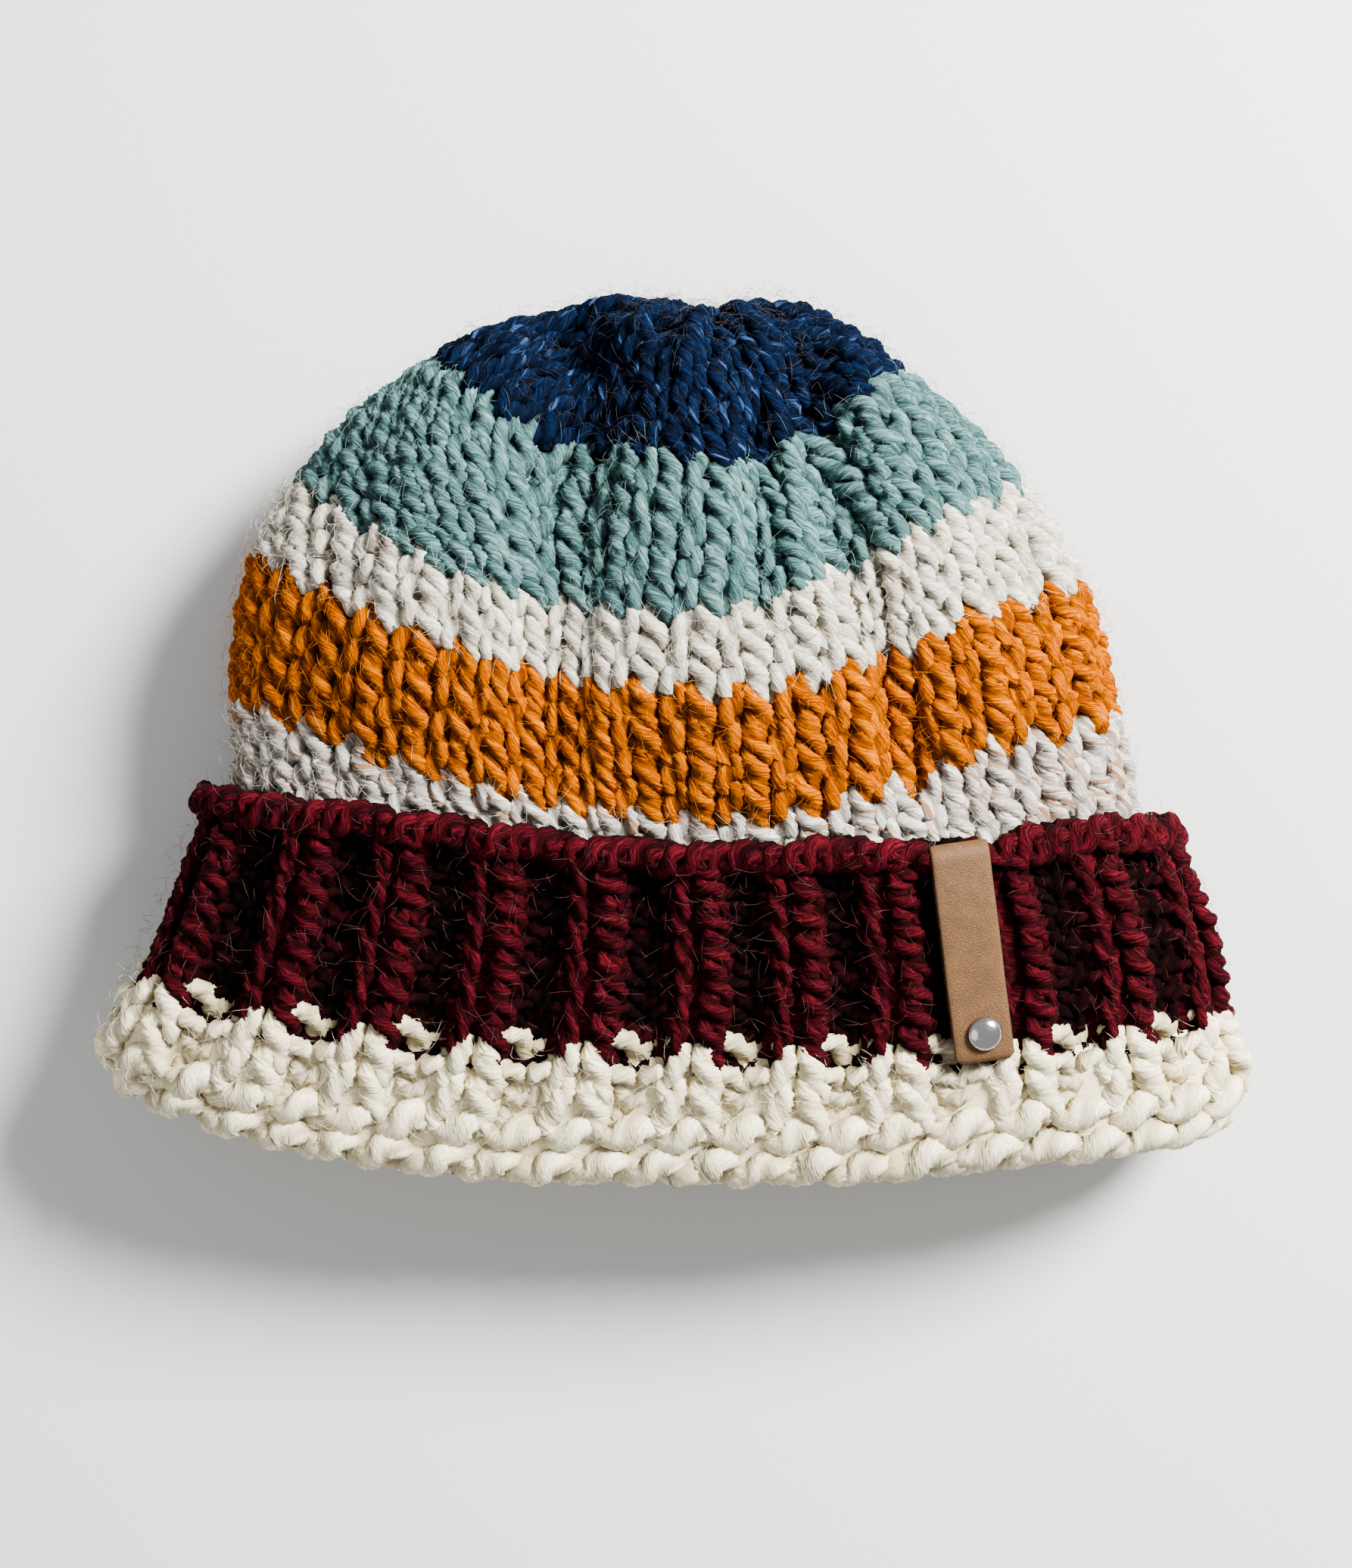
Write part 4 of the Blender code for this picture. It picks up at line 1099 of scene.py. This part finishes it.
class BEANIE_OT_cuff(bpy.types.Operator):
    """Knits the turned-up ribbed cuff and its cream rim"""

    bl_idname = "beanie.cuff"
    bl_label = "Cuff"

    def execute(self, context):
        fabric = Fabric()
        self.burgundy(context, fabric)
        self.cream(context, fabric)
        return {"FINISHED"}

    def burgundy(self, context, fabric):
        weave = Weave()
        yarn = yarn_of(context, 0.99)
        for number in range(7):
            share = 0.355 + CUFF_STEP * number
            rib_course(weave, fabric, yarn, share, 0.0046, RIB_LEAN, sink=0.0, seed=300 + number)
        colour = context.scene.beanie_yarn.burgundy
        material = wool("burgundy_yarn", colour, (0.010, 0.0008, 0.0018), (0.17, 0.016, 0.024))
        finish_piece(weave, "cuff_burgundy", material)
        weave = Weave()
        for angle, offset in ((50, 0.0), (120, 0.5)):
            place = cuff_top_place(fabric, math.radians(angle))
            edge_lobes(weave, yarn, place, offset, seed=320 + angle, fat=1.10, slant=0.75)
        even = even_places(8 * RIBS)
        around = rib_place(even)
        under = CUFF_WALL - BACKING - rib_dip(even, 0.0034)
        inner = [(share, 0.0) for share in (0.96, 0.75, 0.5, CREAM_SHARE)]
        outer = [(share, under) for share in (CREAM_SHARE, 0.5, 0.75, 0.95)]
        grid_ring(weave, [cuff_path(fabric, around, *place)[0] for place in inner + outer])
        cuff_fibres(weave, fabric, 0.3, 1.0, count=2000, seed=350)
        finish_piece(weave, "cuff_burgundy", material, "_edge")

    def cream(self, context, fabric):
        weave = Weave()
        yarn = yarn_of(context, 1.16, 0.80)
        rib_course(weave, fabric, yarn, 0.275, 0.0030, 0.12, sink=0.0050, seed=400)
        rib_course(weave, fabric, yarn, 0.185, 0.0022, 0.12, sink=0.0, seed=401)
        edge_lobes(weave, yarn, cuff_face_place(fabric, 0.105), 0.0, seed=410, fat=1.16)
        for angle, offset in ((18, 0.5), (80, 0.0), (145, 0.5)):
            place = rim_place(fabric, math.radians(angle))
            edge_lobes(weave, yarn, place, offset, seed=420 + angle, fat=1.12)
        self.rim_backing(weave, fabric)
        cuff_fibres(weave, fabric, 0.02, 0.33, count=1900, seed=450)
        colour, deep, light = context.scene.beanie_yarn.cream, (0.84, 0.71, 0.44), (1.0, 0.97, 0.80)
        material = wool("cream_yarn", colour, deep, light, shade=0.60)
        finish_piece(weave, "cuff_cream_edge", material)

    def rim_backing(self, weave, fabric):
        """The folded cloth behind the rim's stitches: two layers and the round fold that joins them."""
        around = even_places(6 * STITCHES)
        face = CUFF_WALL - rib_dip(around, 0.002)
        rings = [fabric.at(around, row) for row in (HEM_ROW, 0.5 * HEM_ROW, 0.3)]
        rings += [fabric.at(around, row, CUFF_GAP) for row in (0.3, 0.5 * HEM_ROW)]
        rings += [cuff_path(fabric, around, CREAM_SHARE, 0.0)[0]]
        shares, under = (CREAM_SHARE, 0.26, 0.2, 0.1, 0.03), (0.0058, 0.0036, 0.0032, 0.0032, 0.0032)
        rings += [cuff_path(fabric, around, share, face - deep)[0] for share, deep in zip(shares, under)]
        for angle in np.radians((40, 75, 105, 140)):
            centre, outward, _ = rim_fold(fabric, around, angle)
            rings.append(centre + (RIM_RADIUS - BACKING) * outward)
        rings += inner_face(fabric, around, np.linspace(0.4, HEM_ROW, 14))
        grid_ring(weave, rings[::-1])


def tag_place(fabric, share, height):
    """Points of the tag's middle line, which runs straight up the cuff, and three directions there: round
    the hat, towards the crown and outward."""
    around = TAG_AROUND + TAG_LEAN * (1.0 - share)
    rows = fabric.cuff_rows(around, share)
    out = fabric.square_out(around, rows)
    path = fabric.at(around, rows, height)
    ends = np.array([TAG_FOOT, 1.0])
    foot, top = fabric.at(TAG_AROUND + TAG_LEAN * (1.0 - ends), fabric.cuff_rows(TAG_AROUND, ends))
    path[..., 0] = foot[0] + (top[0] - foot[0]) * (share - TAG_FOOT) / (1.0 - TAG_FOOT)
    round_hat = unit(np.cross((top - foot) * (1, 1, 0), out))
    return path, round_hat, np.cross(out, round_hat), out


def tag_line(fabric, stations):
    """The tag's middle line: up the front of the cuff, round its top edge and down behind it, with its
    directions across and outward."""
    front = CUFF_GAP + CUFF_WALL - TAG_SINK + 0.5 * TAG_THICKNESS
    back = CUFF_GAP + TAIL_THICKNESS + CLEARANCE + 0.5 * TAG_THICKNESS
    centre, radius = 0.5 * (front + back), 0.5 * (front - back)
    straight = np.linspace(TAG_FOOT, TAG_TURN, stations)
    angle = np.linspace(0, np.pi, 14)[1:-1]
    share = np.concatenate([straight, TAG_TURN + radius * np.sin(angle) / CUFF_HEIGHT, straight[::-1]])
    height = np.concatenate([0 * straight + front, centre + radius * np.cos(angle), 0 * straight + back])
    out_part = np.concatenate([0 * straight + 1, np.cos(angle), 0 * straight - 1])
    up_part = np.concatenate([0 * straight, np.sin(angle), 0 * straight])
    path, round_hat, up, out = tag_place(fabric, share, height)
    return path, round_hat, out_part[:, None] * out + up_part[:, None] * up


class BEANIE_OT_tag(bpy.types.Operator):
    """Cuts the leather strip and folds it over the cuff's top edge"""

    bl_idname = "beanie.tag"
    bl_label = "Leather tag"

    def execute(self, context):
        settings = context.scene.beanie_tag
        fabric = Fabric()
        path, across, out = tag_line(fabric, 40)
        # The strip's section is a rounded rectangle, from powers of the cosine and the sine of its turn
        turn = 2 * np.pi * even_places(TAG_SIDES)
        wide = np.sign(np.cos(turn)) * np.abs(np.cos(turn)) ** 0.25
        thick = np.sign(np.sin(turn)) * np.abs(np.sin(turn)) ** 0.45
        ends = np.minimum(np.arange(len(path)), np.arange(len(path))[::-1])
        inset = np.where(ends == 0, 0.82, 1.0)[:, None, None]
        rings = path[:, None] + 0.5 * settings.width * wide[None, :, None] * across[:, None] * inset
        rings = rings + 0.5 * TAG_THICKNESS * thick[None, :, None] * out[:, None] * inset**3
        weave = Weave()
        flat = rings.reshape(-1, 3)
        edge = np.tile(np.clip((np.abs(wide) - 0.93) / 0.07, 0, 1), len(path))
        weave.add(flat, [wrap_faces(len(path), TAG_SIDES, False)], 1000 * flat, edge)
        poles = np.stack([rings[0].mean(axis=0), rings[-1].mean(axis=0)])
        add_caps(weave, len(path), TAG_SIDES, poles, 1.0)
        piece = weave.mesh("tag_strip")
        piece.data.materials.append(leather("tag_leather", settings.leather, (0.05, 0.021, 0.008)))
        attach(piece, "root")
        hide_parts("leather_tag")
        return {"FINISHED"}


class BEANIE_OT_rivet(bpy.types.Operator):
    """Turns the domed rivet that holds the tag to the cuff"""

    bl_idname = "beanie.rivet"
    bl_label = "Rivet"

    def execute(self, context):
        settings = context.scene.beanie_tag
        fabric = Fabric()
        origin, round_hat, up, out = tag_place(fabric, np.array(RIVET_PLACE), 0.0)
        seat = CUFF_GAP + CUFF_WALL - TAG_SINK + TAG_THICKNESS - 0.0001
        radius, dome = settings.rivet_radius, settings.rivet_dome
        # The head is a low rim under a quarter of an ellipse, turned round the middle
        angle = np.linspace(0, 0.5 * np.pi, 14)[1:-1]
        radii = np.concatenate([[0.9 * radius, radius], radius * np.cos(angle)])
        round_part = RIVET_RIM + (dome - RIVET_RIM) * np.sin(angle)
        heights = seat + np.concatenate([[0.0, 0.6 * RIVET_RIM], round_part])
        turn = 2 * np.pi * even_places(RIVET_SIDES)
        circle = np.cos(turn)[:, None] * round_hat + np.sin(turn)[:, None] * up
        rings = origin + heights[:, None, None] * out + radii[:, None, None] * circle[None]
        weave = Weave()
        flat = rings.reshape(-1, 3)
        weave.add(flat, [wrap_faces(len(rings), RIVET_SIDES, False)], 1000 * flat)
        poles = np.stack([origin + seat * out, origin + (seat + dome) * out])
        add_caps(weave, len(rings), RIVET_SIDES, poles, 1.0)
        piece = weave.mesh("rivet_head")
        piece.data.materials.append(metal("rivet_metal", settings.metal))
        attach(piece, "root")
        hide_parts("rivet")
        return {"FINISHED"}


class BEANIE_OT_stage(bpy.types.Operator):
    """Lays the floor and sets the lights and the camera"""

    bl_idname = "beanie.stage"
    bl_label = "Stage"

    def execute(self, context):
        settings = context.scene.beanie_stage
        low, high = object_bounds()
        bpy.ops.mesh.primitive_plane_add(size=6.0, location=(0, 0, min(0.0, low[2]) - 0.0002))
        floor = context.object
        floor.name = "floor"
        floor.data.transform(floor.matrix_world)
        floor.matrix_world = Matrix.Identity(4)
        floor.data.materials.append(floor_paint("floor_paint", settings.floor))
        floor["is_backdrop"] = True
        self.light(context, "key", (0.75, 0.62, 0.80), 0.45, settings.key_power)
        self.light(context, "fill", (-0.9, -0.5, 1.0), 1.2, 0.06 * settings.key_power)
        world = bpy.data.worlds.new("sky")
        world.use_nodes = True
        sky = world.node_tree.nodes["Background"]
        sky.inputs["Color"].default_value = (0.93, 0.96, 1.0, 1.0)
        sky.inputs["Strength"].default_value = settings.sky
        context.scene.world = world
        context.scene.view_settings.look = "AgX - Medium High Contrast"
        self.camera(context, settings)
        return {"FINISHED"}

    def light(self, context, name, place, size, power):
        lamp = bpy.data.lights.new(name, "AREA")
        lamp.shape, lamp.size, lamp.energy = "DISK", size, power
        made = bpy.data.objects.new(name, lamp)
        made.location = place
        made.rotation_euler = (Vector(place) - Vector((0, 0, 0.02))).to_track_quat("Z", "Y").to_euler()
        context.collection.objects.link(made)

    def camera(self, context, settings):
        """The camera looks straight down, turned so that the hat shows a little clockwise."""
        lens = bpy.data.cameras.new("camera")
        lens.sensor_width, lens.lens = 36.0, settings.lens
        made = bpy.data.objects.new("camera", lens)
        made.location = (-0.0017, -0.0096, settings.camera_height)
        made.rotation_euler = (0.0, 0.0, math.radians(1.9))
        context.collection.objects.link(made)
        context.scene.camera = made


class BEANIE_PT_panel(bpy.types.Panel):
    bl_idname = "BEANIE_PT_panel"
    bl_label = "Knitted beanie"
    bl_space_type = "VIEW_3D"
    bl_region_type = "UI"
    bl_category = "Beanie"

    def draw(self, context):
        for operator in OPERATORS:
            self.layout.operator(operator.bl_idname)


GROUPS = {"beanie_yarn": BeanieYarn, "beanie_tag": BeanieTag, "beanie_stage": BeanieStage}
OPERATORS = (
    BEANIE_OT_crown,
    BEANIE_OT_bands,
    BEANIE_OT_cuff,
    BEANIE_OT_tag,
    BEANIE_OT_rivet,
    BEANIE_OT_stage,
)
CLASSES = (*GROUPS.values(), *OPERATORS, BEANIE_PT_panel)


def register():
    for made in CLASSES:
        bpy.utils.register_class(made)
    for name, group in GROUPS.items():
        setattr(bpy.types.Scene, name, bpy.props.PointerProperty(type=group))


def unregister():
    for name in GROUPS:
        delattr(bpy.types.Scene, name)
    for made in reversed(CLASSES):
        bpy.utils.unregister_class(made)


def main():
    register()
    bpy.ops.beanie.crown()
    bpy.ops.beanie.bands()
    bpy.ops.beanie.cuff()
    bpy.ops.beanie.tag()
    bpy.ops.beanie.rivet()
    bpy.ops.beanie.stage()


if __name__ == "__main__":
    main()
